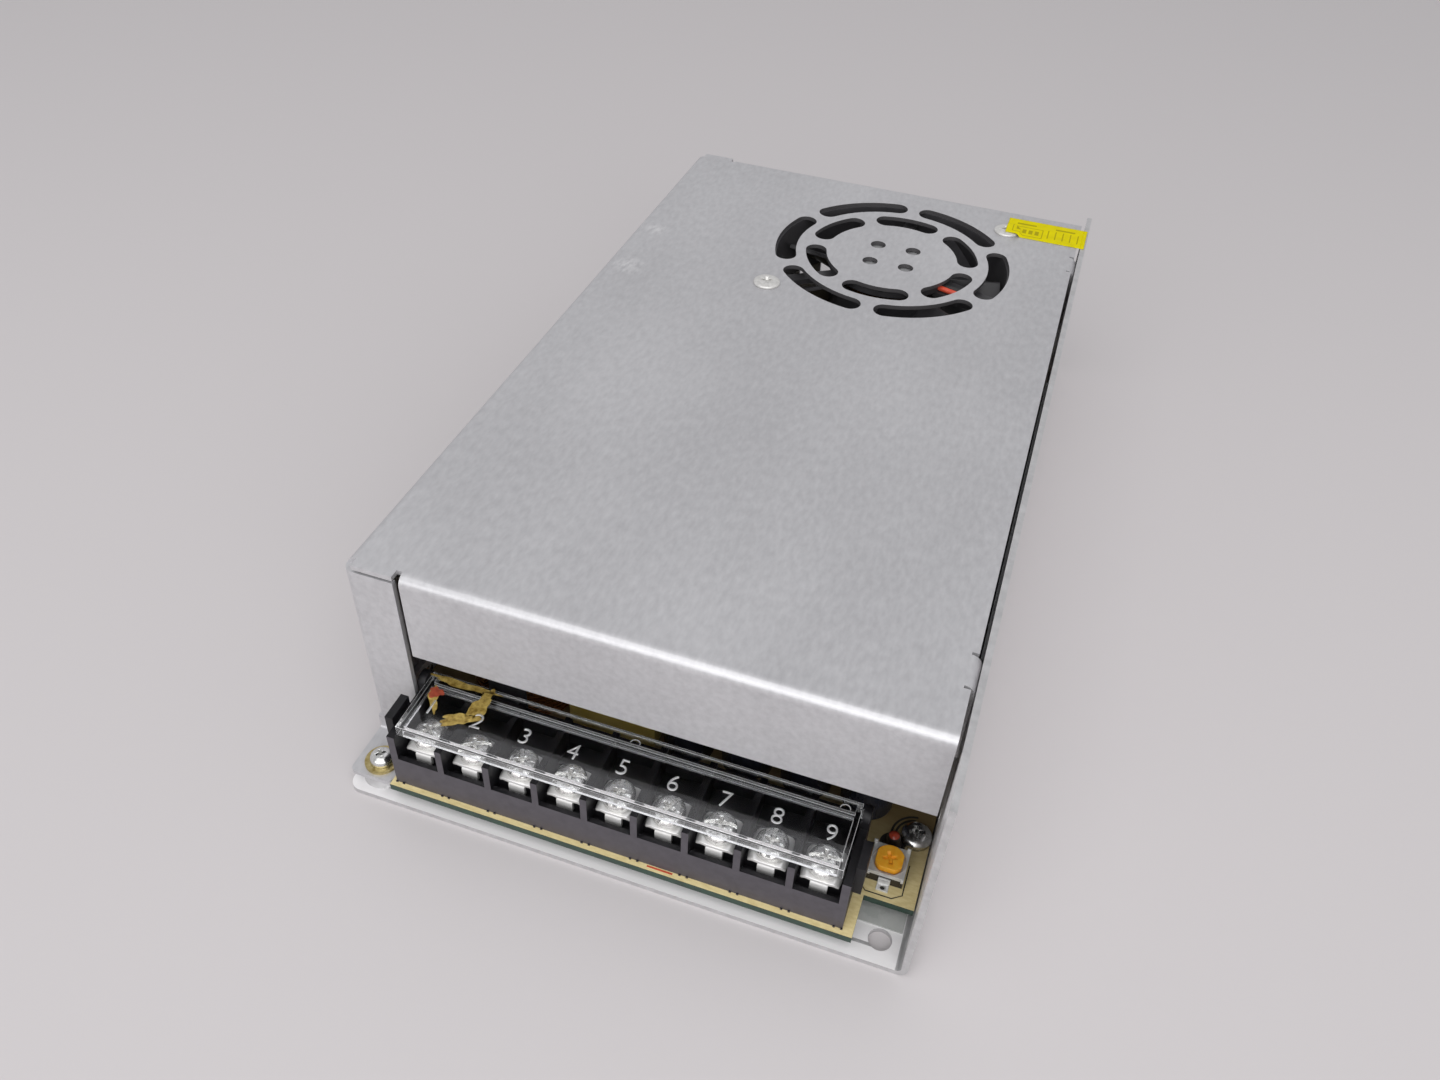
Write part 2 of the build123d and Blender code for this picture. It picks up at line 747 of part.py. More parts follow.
# Contacts: plated strips with a tongue folded down in front and a pin to the board.
with BuildPart() as terminal_contacts:
    with BuildSketch(Plane.XY.offset(ledge_top)):
        with Locations(*[(x, contact_rear) for x in bay_centres]):
            Rectangle(
                contact_width, contact_rear - ledge_front + contact_sheet,
                align=(Align.CENTER, Align.MAX),
            )
    extrude(amount=contact_sheet)
    with BuildSketch(Plane.XY.offset(ledge_top)):
        with Locations(*[(x, ledge_front) for x in bay_centres]):
            Rectangle(tongue_width, contact_sheet, align=(Align.CENTER, Align.MAX))
    extrude(amount=-tongue_drop)
    with BuildSketch(Plane.XY.offset(ledge_top)):
        with Locations(*[(x, pin_y) for x in bay_centres]):
            Rectangle(pin_width, contact_sheet)
    extrude(amount=-ledge_height)
    with Locations(*[(x, terminal_screw_y, ledge_top + contact_sheet) for x in bay_centres]):
        Hole(terminal_screw_radius + thread_gap, depth=contact_sheet)

terminal_contacts.part.label = "terminal_contacts"
export_step(terminal_contacts.part, "parts/terminal_contacts.step")

clamp_bottom = ledge_top + contact_sheet
with BuildPart() as clamp_plates:
    with BuildSketch(Plane.XY.offset(clamp_bottom)):
        with Locations(*[(x, terminal_screw_y) for x in bay_centres]):
            Rectangle(clamp_width, clamp_length)
            Circle(terminal_screw_radius + sheet_gap, mode=Mode.SUBTRACT)
    extrude(amount=clamp_lip)
    with BuildSketch(Plane.XY.offset(clamp_bottom)):
        with Locations(*[(x, terminal_screw_y) for x in bay_centres]):
            Rectangle(clamp_width, clamp_length)
            Rectangle(clamp_width - 2 * clamp_lip, clamp_length, mode=Mode.SUBTRACT)
    extrude(amount=-contact_sheet)

clamp_plates.part.label = "clamp_plates"
export_step(clamp_plates.part, "parts/clamp_plates.step")

terminal_screw_length = 6.0
with BuildPart() as terminal_screws:
    with Locations(*[(x, terminal_screw_y, clamp_bottom + clamp_lip) for x in bay_centres]):
        Cylinder(
            terminal_head_radius, terminal_head_height,
            align=(Align.CENTER, Align.CENTER, Align.MIN),
        )
    terminal_heads = terminal_screws.edges().group_by(Axis.Z)[-1]
    chamfer(terminal_heads, terminal_head_height / 4)
    with Locations(*[(x, terminal_screw_y, clamp_bottom + clamp_lip) for x in bay_centres]):
        Cylinder(
            terminal_screw_radius, terminal_screw_length,
            align=(Align.CENTER, Align.CENTER, Align.MAX),
        )

terminal_screws.part.label = "terminal_screws"
export_step(terminal_screws.part, "parts/terminal_screws.step")

# Clear cover of the terminals: a shallow tray turned over, on pins in the block's lugs.
lid_half = inner_half - lid_end_gap
lid_front = block_front + lid_front_inset
lid_rear = hinge_y + hinge_lug_radius - lid_above * 2
lid_rib_front = hinge_y - hinge_lug_radius + lid_above
lid_pin_length = lid_end_gap + end_wall - 2 * sheet_gap
with BuildPart() as terminal_lid:
    with BuildSketch(Plane.XY.offset(lid_bottom)):
        with Locations((block_x, lid_front)):
            Rectangle(2 * lid_half, lid_rear - lid_front, align=(Align.CENTER, Align.MIN))
    extrude(amount=lid_height)
    with BuildSketch(Plane.XY.offset(lid_bottom)):
        with Locations((block_x, lid_front + lid_rim)):
            Rectangle(
                2 * (lid_half - lid_rim), lid_rib_front - lid_front - lid_rim,
                align=(Align.CENTER, Align.MIN),
            )
        with Locations((block_x, lid_rib_front + lid_rim)):
            Rectangle(
                2 * (lid_half - lid_rim), lid_rear - lid_rib_front - lid_rim,
                align=(Align.CENTER, Align.MIN),
            )
    extrude(amount=lid_height - lid_sheet, mode=Mode.SUBTRACT)
    for pin_left in (block_x - lid_half - lid_pin_length, block_x + lid_half):
        with BuildSketch(Plane.YZ.offset(pin_left)):
            with Locations((hinge_y, hinge_z)):
                Circle(lid_pin_radius)
        extrude(amount=lid_pin_length)

terminal_lid.part.label = "terminal_lid"
export_step(terminal_lid.part, "parts/terminal_lid.step")


# Voltage trimmer: body with a turning rotor, and soldering tabs.
trim_top = board_top + trim_height
rotor_bottom = trim_top - trim_recess + sheet_gap
trim_pin_length = trim_height / 2
with BuildPart() as trimpot_body:
    with Locations((trim_x, trim_y, board_top)):
        Box(trim_width, trim_length, trim_height, align=(Align.CENTER, Align.CENTER, Align.MIN))
    with Locations((trim_x, trim_y, trim_top)):
        Hole(trim_rotor_radius + 0.35, depth=trim_recess)
        Hole(trim_pin_radius + running_gap, depth=trim_recess + trim_pin_length)

trimpot_body.part.label = "trimpot_body"
export_step(trimpot_body.part, "parts/trimpot_body.step")

with BuildPart() as trimpot_rotor:
    with Locations((trim_x, trim_y, rotor_bottom)):
        Cylinder(trim_rotor_radius, trim_rotor_height, align=(Align.CENTER, Align.CENTER, Align.MIN))
    with BuildSketch(Plane.XY.offset(rotor_bottom + trim_rotor_height)):
        with Locations((trim_x, trim_y)):
            Rectangle(trim_rotor_radius * 1.3, running_gap * 14)
            Rectangle(running_gap * 14, trim_rotor_radius * 1.3)
    extrude(amount=-trim_rotor_height / 2, mode=Mode.SUBTRACT)
    with Locations((trim_x, trim_y, rotor_bottom)):
        Cylinder(
            trim_pin_radius, trim_pin_length - running_gap * 2,
            align=(Align.CENTER, Align.CENTER, Align.MAX),
        )

trimpot_rotor.part.label = "trimpot_rotor"
export_step(trimpot_rotor.part, "parts/trimpot_rotor.step")

tab_front = trim_y - trim_length / 2
tab_rear = trim_y + trim_length / 2
tab_height = trim_height * 0.6
with BuildPart() as trimpot_legs:
    # Front tab in the middle, rear tabs at both sides, each an angle that lands on the board.
    for leg_x, leg_y, away in [
        (trim_x, tab_front, -1),
        (trim_x - trim_tab_width, tab_rear, 1),
        (trim_x + trim_tab_width, tab_rear, 1),
    ]:
        with BuildSketch(Plane.YZ.offset(leg_x - trim_tab_width / 2)):
            Polygon(
                (leg_y, board_top + tab_height),
                (leg_y + away * trim_tab_sheet, board_top + tab_height),
                (leg_y + away * trim_tab_sheet, board_top + trim_tab_sheet),
                (leg_y + away * trim_tab_reach / (1 if away < 0 else 2), board_top + trim_tab_sheet),
                (leg_y + away * trim_tab_reach / (1 if away < 0 else 2), board_top),
                (leg_y, board_top),
                align=None,
            )
        extrude(amount=trim_tab_width if away < 0 else trim_tab_width * 0.7)

trimpot_legs.part.label = "trimpot_legs"
export_step(trimpot_legs.part, "parts/trimpot_legs.step")

# Indicator lamp.
lamp_flange = 0.8
with BuildPart() as power_led:
    with Locations((lamp_x, lamp_y, board_top)):
        Cylinder(lamp_radius, lamp_height, align=(Align.CENTER, Align.CENTER, Align.MIN))
    lamp_edge = power_led.edges().group_by(Axis.Z)[-1]
    chamfer(lamp_edge, lamp_radius / 2)
    with Locations((lamp_x, lamp_y, board_top)):
        Cylinder(lamp_radius + 0.3, lamp_flange, align=(Align.CENTER, Align.CENTER, Align.MIN))

power_led.part.label = "power_led"
export_step(power_led.part, "parts/power_led.step")


# Fan frame: square housing with a round bore, a hub plate on struts and a bearing post.
fan_corner = 3.0
fan_flange_hole = 2.15
lead_strut = (cos(radians(fan_lead_strut_angle)), sin(radians(fan_lead_strut_angle)))
lead_channel_middle = (red_lead_offset + black_lead_offset) / 2
lead_channel_width = black_lead_offset - red_lead_offset + 2 * lead_radius + 0.3
lead_start = fan_hub_radius - 3.0
lead_z = fan_hub_top - lead_radius
strut_top = lead_z - lead_radius - running_gap
rotor_floor = fan_bottom + 1.0
post_bottom = rotor_floor + fan_rotor_sheet + fan_rotor_gap
rotor_top = strut_top - fan_plate - fan_rotor_gap

with BuildPart() as fan_frame:
    with BuildSketch(Plane.XY.offset(fan_bottom)) as frame_outline:
        with Locations((fan_x, fan_y)):
            Rectangle(fan_size, fan_size)
        fillet(frame_outline.vertices(), fan_corner)
        with Locations((fan_x, fan_y)):
            Circle(fan_bore_radius, mode=Mode.SUBTRACT)
            with GridLocations(fan_hole_spacing, fan_hole_spacing, 2, 2):
                Circle(fan_flange_hole, mode=Mode.SUBTRACT)
    extrude(amount=fan_depth)
    with BuildSketch(Plane.XY.offset(fan_hub_under)):
        with Locations((fan_x, fan_y)):
            Circle(fan_hub_radius)
    extrude(amount=fan_plate)
    # Struts from the bore to the hub plate; the broad one carries the leads.
    with BuildSketch(Plane.XY.offset(strut_top)):
        for angle, width in [(a, fan_strut_width) for a in fan_strut_angles] + [
            (fan_lead_strut_angle, fan_lead_strut_width)
        ]:
            with Locations(Location((fan_x, fan_y), angle)):
                with Locations((fan_hub_radius - fan_plate, 0)):
                    Rectangle(
                        fan_bore_radius - fan_hub_radius + 1.5 * fan_plate, width,
                        align=(Align.MIN, Align.CENTER),
                    )
    extrude(amount=-fan_plate)
    # Bearing post below the plate.
    with Locations((fan_x, fan_y, fan_hub_under)):
        Cylinder(
            fan_post_radius, fan_hub_under - post_bottom,
            align=(Align.CENTER, Align.CENTER, Align.MAX),
        )
    with Locations((fan_x, fan_y, post_bottom)):
        Cylinder(
            fan_shaft_radius + running_gap, fan_hub_under - post_bottom,
            align=(Align.CENTER, Align.CENTER, Align.MIN), mode=Mode.SUBTRACT,
        )
    # Channel for the leads, from the plate's edge out through the housing.
    with BuildSketch(Plane.XY.offset(strut_top)):
        with Locations(Location((fan_x, fan_y), fan_lead_strut_angle)):
            with Locations((lead_start, lead_channel_middle)):
                Rectangle(fan_size / 2, lead_channel_width, align=(Align.MIN, Align.CENTER))
    extrude(amount=fan_top - strut_top, mode=Mode.SUBTRACT)

fan_frame.part.label = "fan_frame"
export_step(fan_frame.part, "parts/fan_frame.step")

with BuildPart() as fan_label:
    with Locations((fan_x, fan_y, fan_hub_top)):
        Cylinder(lead_start - running_gap, fan_label_sheet, align=(Align.CENTER, Align.CENTER, Align.MIN))

fan_label.part.label = "fan_label"
export_step(fan_label.part, "parts/fan_label.step")

# Stator: wound ring on the bearing post.
with BuildPart() as fan_stator:
    with BuildSketch(Plane.XY.offset(post_bottom)):
        with Locations((fan_x, fan_y)):
            Circle(fan_stator_radius)
            Circle(fan_post_radius + running_gap, mode=Mode.SUBTRACT)
    extrude(amount=rotor_top - post_bottom)

fan_stator.part.label = "fan_stator"
export_step(fan_stator.part, "parts/fan_stator.step")

# Rotor: cup with seven twisted blades and a shaft.
blade_root = fan_rotor_radius - fan_rotor_sheet
blade_span = fan_blade_tip - blade_root + 2.0
blade_middle = (rotor_floor + rotor_top) / 2
blade_sections = [
    (blade_root, 12.0, 52.0),
    (blade_root + blade_span, 19.0, 30.0),
]
with BuildPart() as blade:
    for section_x, chord, pitch in blade_sections:
        with BuildSketch(Plane.YZ.offset(section_x)):
            with Locations(Location((0, blade_middle), pitch)):
                Rectangle(chord, fan_blade_sheet)
    loft(ruled=True)

with BuildPart() as fan_rotor:
    with Locations((fan_x, fan_y)):
        with PolarLocations(0, fan_blades):
            add(blade.part)
    with Locations((fan_x, fan_y, rotor_floor)):
        Cylinder(
            fan_blade_tip, rotor_top - rotor_floor,
            align=(Align.CENTER, Align.CENTER, Align.MIN), mode=Mode.INTERSECT,
        )
        Cylinder(fan_rotor_radius, rotor_top - rotor_floor, align=(Align.CENTER, Align.CENTER, Align.MIN))
    with Locations((fan_x, fan_y, rotor_floor + fan_rotor_sheet)):
        Cylinder(
            blade_root, rotor_top - rotor_floor,
            align=(Align.CENTER, Align.CENTER, Align.MIN), mode=Mode.SUBTRACT,
        )
        Cylinder(
            fan_shaft_radius, fan_hub_under - rotor_floor - fan_rotor_sheet - fan_rotor_gap,
            align=(Align.CENTER, Align.CENTER, Align.MIN),
        )

fan_rotor.part.label = "fan_rotor"
export_step(fan_rotor.part, "parts/fan_rotor.step")

# Leads of the fan: out along the broad strut, then down to a header on the board.
header_top = board_top + header_height
lead_frame = Plane(
    origin=(fan_x, fan_y, 0),
    x_dir=(lead_strut[0], lead_strut[1], 0),
    z_dir=(lead_strut[1], -lead_strut[0], 0),
)
lead_corners = [(lead_start, lead_z), (lead_reach, lead_z), (lead_reach, header_top)]

with BuildPart() as fan_lead_red:
    with BuildLine(lead_frame.offset(-red_lead_offset)) as red_route:
        FilletPolyline(*lead_corners, radius=lead_bend)
    with BuildSketch(red_route.line ^ 0):
        Circle(lead_radius)
    sweep()

fan_lead_red.part.label = "fan_lead_red"
export_step(fan_lead_red.part, "parts/fan_lead_red.step")

with BuildPart() as fan_lead_black:
    with BuildLine(lead_frame.offset(-black_lead_offset)) as black_route:
        FilletPolyline(*lead_corners, radius=lead_bend)
    with BuildSketch(black_route.line ^ 0):
        Circle(lead_radius)
    sweep()

fan_lead_black.part.label = "fan_lead_black"
export_step(fan_lead_black.part, "parts/fan_lead_black.step")

header_width = 6.0
header_depth = 5.0
with BuildPart() as fan_header:
    with BuildSketch(Plane.XY.offset(board_top)):
        with Locations(Location((fan_x, fan_y), fan_lead_strut_angle)):
            with Locations((lead_reach, lead_channel_middle)):
                Rectangle(header_depth, header_width)
    extrude(amount=header_height)

fan_header.part.label = "fan_header"
export_step(fan_header.part, "parts/fan_header.step")


# Bulk capacitors: two tall cans standing on the board.
can_chamfer = 1.0
with BuildPart() as bulk_capacitors:
    with Locations(*[(bulk_x, y, board_top) for y in bulk_ys]):
        Cylinder(bulk_radius, bulk_height, align=(Align.CENTER, Align.CENTER, Align.MIN))
    bulk_rims = bulk_capacitors.edges().group_by(Axis.Z)[-1]
    chamfer(bulk_rims, can_chamfer)

bulk_capacitors.part.label = "bulk_capacitors"
export_step(bulk_capacitors.part, "parts/bulk_capacitors.step")


# Main transformer: ferrite core with two windows, bobbin around the middle leg, winding on the bobbin.
core_bottom = board_top + core_seat
window_bottom = core_bottom + core_leg
window_height = core_height - 2 * core_leg
window_width = (core_width - 2 * core_leg - core_centre_leg) / 2
window_x = core_centre_leg / 2 + window_width / 2
bobbin_inner = core_centre_leg + 2 * board_gap
bobbin_inner_depth = core_depth + 2 * board_gap
bobbin_outer = core_centre_leg + 2 * window_width - 2 * board_gap
bobbin_foot = 3.0

with BuildPart() as transformer_core:
    with Locations((transformer_x, transformer_y, core_bottom)):
        Box(core_width, core_depth, core_height, align=(Align.CENTER, Align.CENTER, Align.MIN))
    for side in (-1, 1):
        with Locations((transformer_x + side * window_x, transformer_y, window_bottom)):
            Box(
                window_width, core_depth, window_height,
                align=(Align.CENTER, Align.CENTER, Align.MIN), mode=Mode.SUBTRACT,
            )

transformer_core.part.label = "transformer_core"
export_step(transformer_core.part, "parts/transformer_core.step")

with BuildPart() as transformer_bobbin:
    with BuildSketch(Plane.XY.offset(window_bottom)):
        with Locations((transformer_x, transformer_y)):
            Rectangle(bobbin_inner + 2 * bobbin_sheet, bobbin_inner_depth + 2 * bobbin_sheet)
            Rectangle(bobbin_inner, bobbin_inner_depth, mode=Mode.SUBTRACT)
    extrude(amount=window_height)
    for flange_z in (window_bottom, window_bottom + window_height - bobbin_flange):
        with BuildSketch(Plane.XY.offset(flange_z)):
            with Locations((transformer_x, transformer_y)):
                Rectangle(bobbin_outer, bobbin_depth)
                Rectangle(bobbin_inner, bobbin_inner_depth, mode=Mode.SUBTRACT)
        extrude(amount=bobbin_flange)
    for side in (-1, 1):
        with Locations((transformer_x, transformer_y + side * (bobbin_depth - bobbin_foot) / 2, board_top)):
            Box(
                bobbin_outer, bobbin_foot, window_bottom - board_top,
                align=(Align.CENTER, Align.CENTER, Align.MIN),
            )

transformer_bobbin.part.label = "transformer_bobbin"
export_step(transformer_bobbin.part, "parts/transformer_bobbin.step")

with BuildPart() as transformer_winding:
    with BuildSketch(Plane.XY.offset(window_bottom + bobbin_flange + wire_gap)) as winding_outline:
        with Locations((transformer_x, transformer_y)):
            Rectangle(bobbin_outer - bobbin_sheet, bobbin_depth - bobbin_sheet)
        fillet(winding_outline.vertices(), bobbin_foot)
        with Locations((transformer_x, transformer_y)):
            Rectangle(
                bobbin_inner + 2 * bobbin_sheet + 2 * wire_gap,
                bobbin_inner_depth + 2 * bobbin_sheet + 2 * wire_gap,
                mode=Mode.SUBTRACT,
            )
    extrude(amount=window_height - 2 * bobbin_flange - 2 * wire_gap)

transformer_winding.part.label = "transformer_winding"
export_step(transformer_winding.part, "parts/transformer_winding.step")


# Ring chokes: a core ring with wound stretches around it, lying on the board.
def ring_core(core_bottom_z):
    with BuildPart(mode=Mode.PRIVATE) as ring:
        with BuildSketch(Plane.XY.offset(core_bottom_z)):
            Circle(toroid_outer)
            Circle(toroid_inner, mode=Mode.SUBTRACT)
        extrude(amount=toroid_height)
    return ring.part


def ring_winding(core_bottom_z, sweep_angle, start_angle):
    with BuildPart(mode=Mode.PRIVATE) as wound:
        with BuildSketch(Plane.XZ):
            with Locations(((toroid_inner + toroid_outer) / 2, core_bottom_z + toroid_height / 2)):
                Rectangle(
                    toroid_outer - toroid_inner + 2 * toroid_wire,
                    toroid_height + 2 * toroid_wire,
                )
                Rectangle(
                    toroid_outer - toroid_inner + 2 * wire_gap,
                    toroid_height + 2 * wire_gap,
                    mode=Mode.SUBTRACT,
                )
        revolve(axis=Axis.Z, revolution_arc=sweep_angle)
    return wound.part.rotate(Axis.Z, start_angle)


ring_bottom = board_top + toroid_wire
choke_sweep = 130.0
with BuildPart() as emi_choke_core:
    with Locations(choke_at):
        add(ring_core(ring_bottom))

emi_choke_core.part.label = "emi_choke_core"
export_step(emi_choke_core.part, "parts/emi_choke_core.step")

with BuildPart() as emi_choke_windings:
    with Locations(choke_at):
        for start in (-choke_sweep / 2, 180 - choke_sweep / 2):
            add(ring_winding(ring_bottom, choke_sweep, start))

emi_choke_windings.part.label = "emi_choke_windings"
export_step(emi_choke_windings.part, "parts/emi_choke_windings.step")

output_sweep = 300.0
with BuildPart() as output_choke_core:
    with Locations(output_toroid_at):
        add(ring_core(ring_bottom))

output_choke_core.part.label = "output_choke_core"
export_step(output_choke_core.part, "parts/output_choke_core.step")

with BuildPart() as output_choke_winding:
    with Locations(output_toroid_at):
        add(ring_winding(ring_bottom, output_sweep, 120.0))

output_choke_winding.part.label = "output_choke_winding"
export_step(output_choke_winding.part, "parts/output_choke_winding.step")


# Smaller parts standing on the board.
with BuildPart() as output_capacitors:
    with Locations(*[(x, output_capacitor_y, board_top) for x in output_capacitor_xs]):
        Cylinder(
            output_capacitor_radius, output_capacitor_height,
            align=(Align.CENTER, Align.CENTER, Align.MIN),
        )
    output_rims = output_capacitors.edges().group_by(Axis.Z)[-1]
    chamfer(output_rims, can_chamfer / 2)

output_capacitors.part.label = "output_capacitors"
export_step(output_capacitors.part, "parts/output_capacitors.step")

small_can_radius = 3.15
small_can_height = 11.0
small_can_y = 4.8 * row
small_can_pitch = 1.8 * column
with BuildPart() as small_capacitors:
    with Locations((fan_x + small_can_pitch, small_can_y, board_top)):
        with GridLocations(small_can_pitch, small_can_pitch, 3, 1):
            Cylinder(
                small_can_radius, small_can_height,
                align=(Align.CENTER, Align.CENTER, Align.MIN),
            )

small_capacitors.part.label = "small_capacitors"
export_step(small_capacitors.part, "parts/small_capacitors.step")

x_capacitor_at = (-2.2 * column, -14 * row)
x_capacitor_size = (3.6 * column, 1.6 * row, 15.0)
with BuildPart() as x_capacitor:
    with Locations((x_capacitor_at[0], x_capacitor_at[1], board_top)):
        Box(*x_capacitor_size, align=(Align.CENTER, Align.CENTER, Align.MIN))
    chamfer(x_capacitor.edges().filter_by(Axis.Z), can_chamfer / 2)

x_capacitor.part.label = "x_capacitor"
export_step(x_capacitor.part, "parts/x_capacitor.step")

disc_radius = 0.8 * column
disc_sheet = 3.0
disc_xs = [-5 * column, -3 * column]
disc_y = -10 * row
with BuildPart() as y_capacitors:
    with BuildSketch(Plane.XZ.offset(-disc_y)):
        with Locations(*[(x, board_top + disc_radius) for x in disc_xs]):
            Circle(disc_radius)
    extrude(amount=disc_sheet)

y_capacitors.part.label = "y_capacitors"
export_step(y_capacitors.part, "parts/y_capacitors.step")

thermistor_radius = 1.4 * row
thermistor_sheet = 4.0
thermistor_y = -8 * row
with BuildPart() as thermistor:
    with BuildSketch(Plane.YZ.offset(board_left + disc_sheet)):
        with Locations((thermistor_y, board_top + thermistor_radius)):
            Circle(thermistor_radius)
    extrude(amount=thermistor_sheet)

thermistor.part.label = "thermistor"
export_step(thermistor.part, "parts/thermistor.step")

fuse_radius = 2.6
fuse_length = 4 * row
fuse_x = board_left + 3.8
fuse_y = -11.8 * row
fuse_z = board_top + 4.0
clip_length = row
clip_sheet = 0.6
with BuildPart() as fuse:
    with BuildSketch(Plane.XZ.offset(-(fuse_y - fuse_length / 2))):
        with Locations((fuse_x, fuse_z)):
            Circle(fuse_radius)
    extrude(amount=-fuse_length)

fuse.part.label = "fuse"
export_step(fuse.part, "parts/fuse.step")

with BuildPart() as fuse_clips:
    for clip_y in (fuse_y - fuse_length / 2, fuse_y + fuse_length / 2 - clip_length):
        with BuildSketch(Plane.XZ.offset(-clip_y)):
            with Locations((fuse_x, board_top)):
                Rectangle(
                    2 * (fuse_radius + clip_sheet), fuse_z - board_top + fuse_radius / 2,
                    align=(Align.CENTER, Align.MIN),
                )
            with Locations((fuse_x, fuse_z)):
                Circle(fuse_radius + running_gap, mode=Mode.SUBTRACT)
                Rectangle(2 * fuse_radius, 2 * fuse_radius, align=(Align.CENTER, Align.MIN), mode=Mode.SUBTRACT)
        extrude(amount=-clip_length)

fuse_clips.part.label = "fuse_clips"
export_step(fuse_clips.part, "parts/fuse_clips.step")

bridge_size = (4.0, 4.4 * row, 16.0)
bridge_at = (board_left + 2.8, -4 * row)
with BuildPart() as bridge_rectifier:
    with Locations((bridge_at[0], bridge_at[1], board_top)):
        Box(*bridge_size, align=(Align.CENTER, Align.CENTER, Align.MIN))

bridge_rectifier.part.label = "bridge_rectifier"
export_step(bridge_rectifier.part, "parts/bridge_rectifier.step")

drive_core_size = (2.6 * column, row, 12.0)
drive_winding_size = (1.8 * column, 2.6 * row, 8.0)
with BuildPart() as drive_transformer:
    with Locations((transformer_x, 0, board_top)):
        Box(*drive_core_size, align=(Align.CENTER, Align.CENTER, Align.MIN))
        Box(*drive_winding_size, align=(Align.CENTER, Align.CENTER, Align.MIN))

drive_transformer.part.label = "drive_transformer"
export_step(drive_transformer.part, "parts/drive_transformer.step")

chip_size = (20.0, 6.4, 3.6)
chip_at = (fan_x - small_can_radius - chip_size[0] / 2 - 0.45, 4 * row)
with BuildPart() as control_chip:
    with Locations((chip_at[0], chip_at[1], board_top)):
        Box(*chip_size, align=(Align.CENTER, Align.CENTER, Align.MIN))
    chamfer(control_chip.edges().group_by(Axis.Z)[-1], can_chamfer / 2)

control_chip.part.label = "control_chip"
export_step(control_chip.part, "parts/control_chip.step")

resistor_radius = 2.2
resistor_length = 2.4 * column
resistor_at = (2.8 * column, 1.6 * row)
with BuildPart() as load_resistor:
    with BuildSketch(Plane.YZ.offset(resistor_at[0])):
        with Locations((resistor_at[1], board_top + resistor_radius)):
            Circle(resistor_radius)
    extrude(amount=resistor_length)

load_resistor.part.label = "load_resistor"
export_step(load_resistor.part, "parts/load_resistor.step")


# Power packages on the right wall: film, packages with leads, clamp bars and their screws.
film_inner = wall_inner - wall_film
package_inner = film_inner - package_depth
package_top = package_bottom + package_height
film_margin = 3.0


def packages(positions):
    with BuildPart(mode=Mode.PRIVATE) as group:
        for package_y in positions:
            with Locations((package_inner, package_y, package_bottom)):
                Box(package_depth, package_width, package_height, align=(Align.MIN, Align.CENTER, Align.MIN))
            for lead_y in (package_y - package_width / 3, package_y, package_y + package_width / 3):
                with Locations((package_inner + package_depth / 2, lead_y, board_top)):
                    Box(
                        lead_width / 2, lead_width, package_bottom - board_top,
                        align=(Align.CENTER, Align.CENTER, Align.MIN),
                    )
    return group.part


with BuildPart() as power_transistors:
    add(packages(transistor_ys))

power_transistors.part.label = "power_transistors"
export_step(power_transistors.part, "parts/power_transistors.step")

with BuildPart() as output_diodes:
    add(packages(diode_ys))

output_diodes.part.label = "output_diodes"
export_step(output_diodes.part, "parts/output_diodes.step")

with BuildPart() as insulating_film:
    with BuildSketch(Plane.YZ.offset(film_inner)):
        with Locations((
            (transistor_ys[0] + diode_ys[1]) / 2,
            (package_bottom + package_top) / 2,
        )):
            Rectangle(
                diode_ys[1] - transistor_ys[0] + package_width + 2 * film_margin,
                package_height + 2 * film_margin,
            )
        with Locations(*[(y, clamp_height) for y in clamp_screw_ys]):
            Circle(screw_radius + thread_gap, mode=Mode.SUBTRACT)
    extrude(amount=wall_film)

insulating_film.part.label = "insulating_film"
export_step(insulating_film.part, "parts/insulating_film.step")

with BuildPart() as clamp_bars:
    with BuildSketch(Plane.YZ.offset(package_inner)):
        with Locations(*[(y, clamp_height) for y in clamp_screw_ys]):
            Rectangle(clamp_bar_length, clamp_bar_height)
            Circle(screw_radius + thread_gap, mode=Mode.SUBTRACT)
    extrude(amount=-clamp_bar_sheet)

clamp_bars.part.label = "clamp_bars"
export_step(clamp_bars.part, "parts/clamp_bars.step")

with BuildPart() as clamp_screws:
    with BuildSketch(Plane.YZ.offset(package_inner - clamp_bar_sheet)):
        with Locations(*[(y, clamp_height) for y in clamp_screw_ys]):
            Circle(foot_head_radius)
    extrude(amount=-foot_head_height)
    with BuildSketch(Plane.YZ.offset(package_inner - clamp_bar_sheet)):
        with Locations(*[(y, clamp_height) for y in clamp_screw_ys]):
            Circle(shank_radius)
    extrude(amount=case_right - package_inner + clamp_bar_sheet)

clamp_screws.part.label = "clamp_screws"
export_step(clamp_screws.part, "parts/clamp_screws.step")


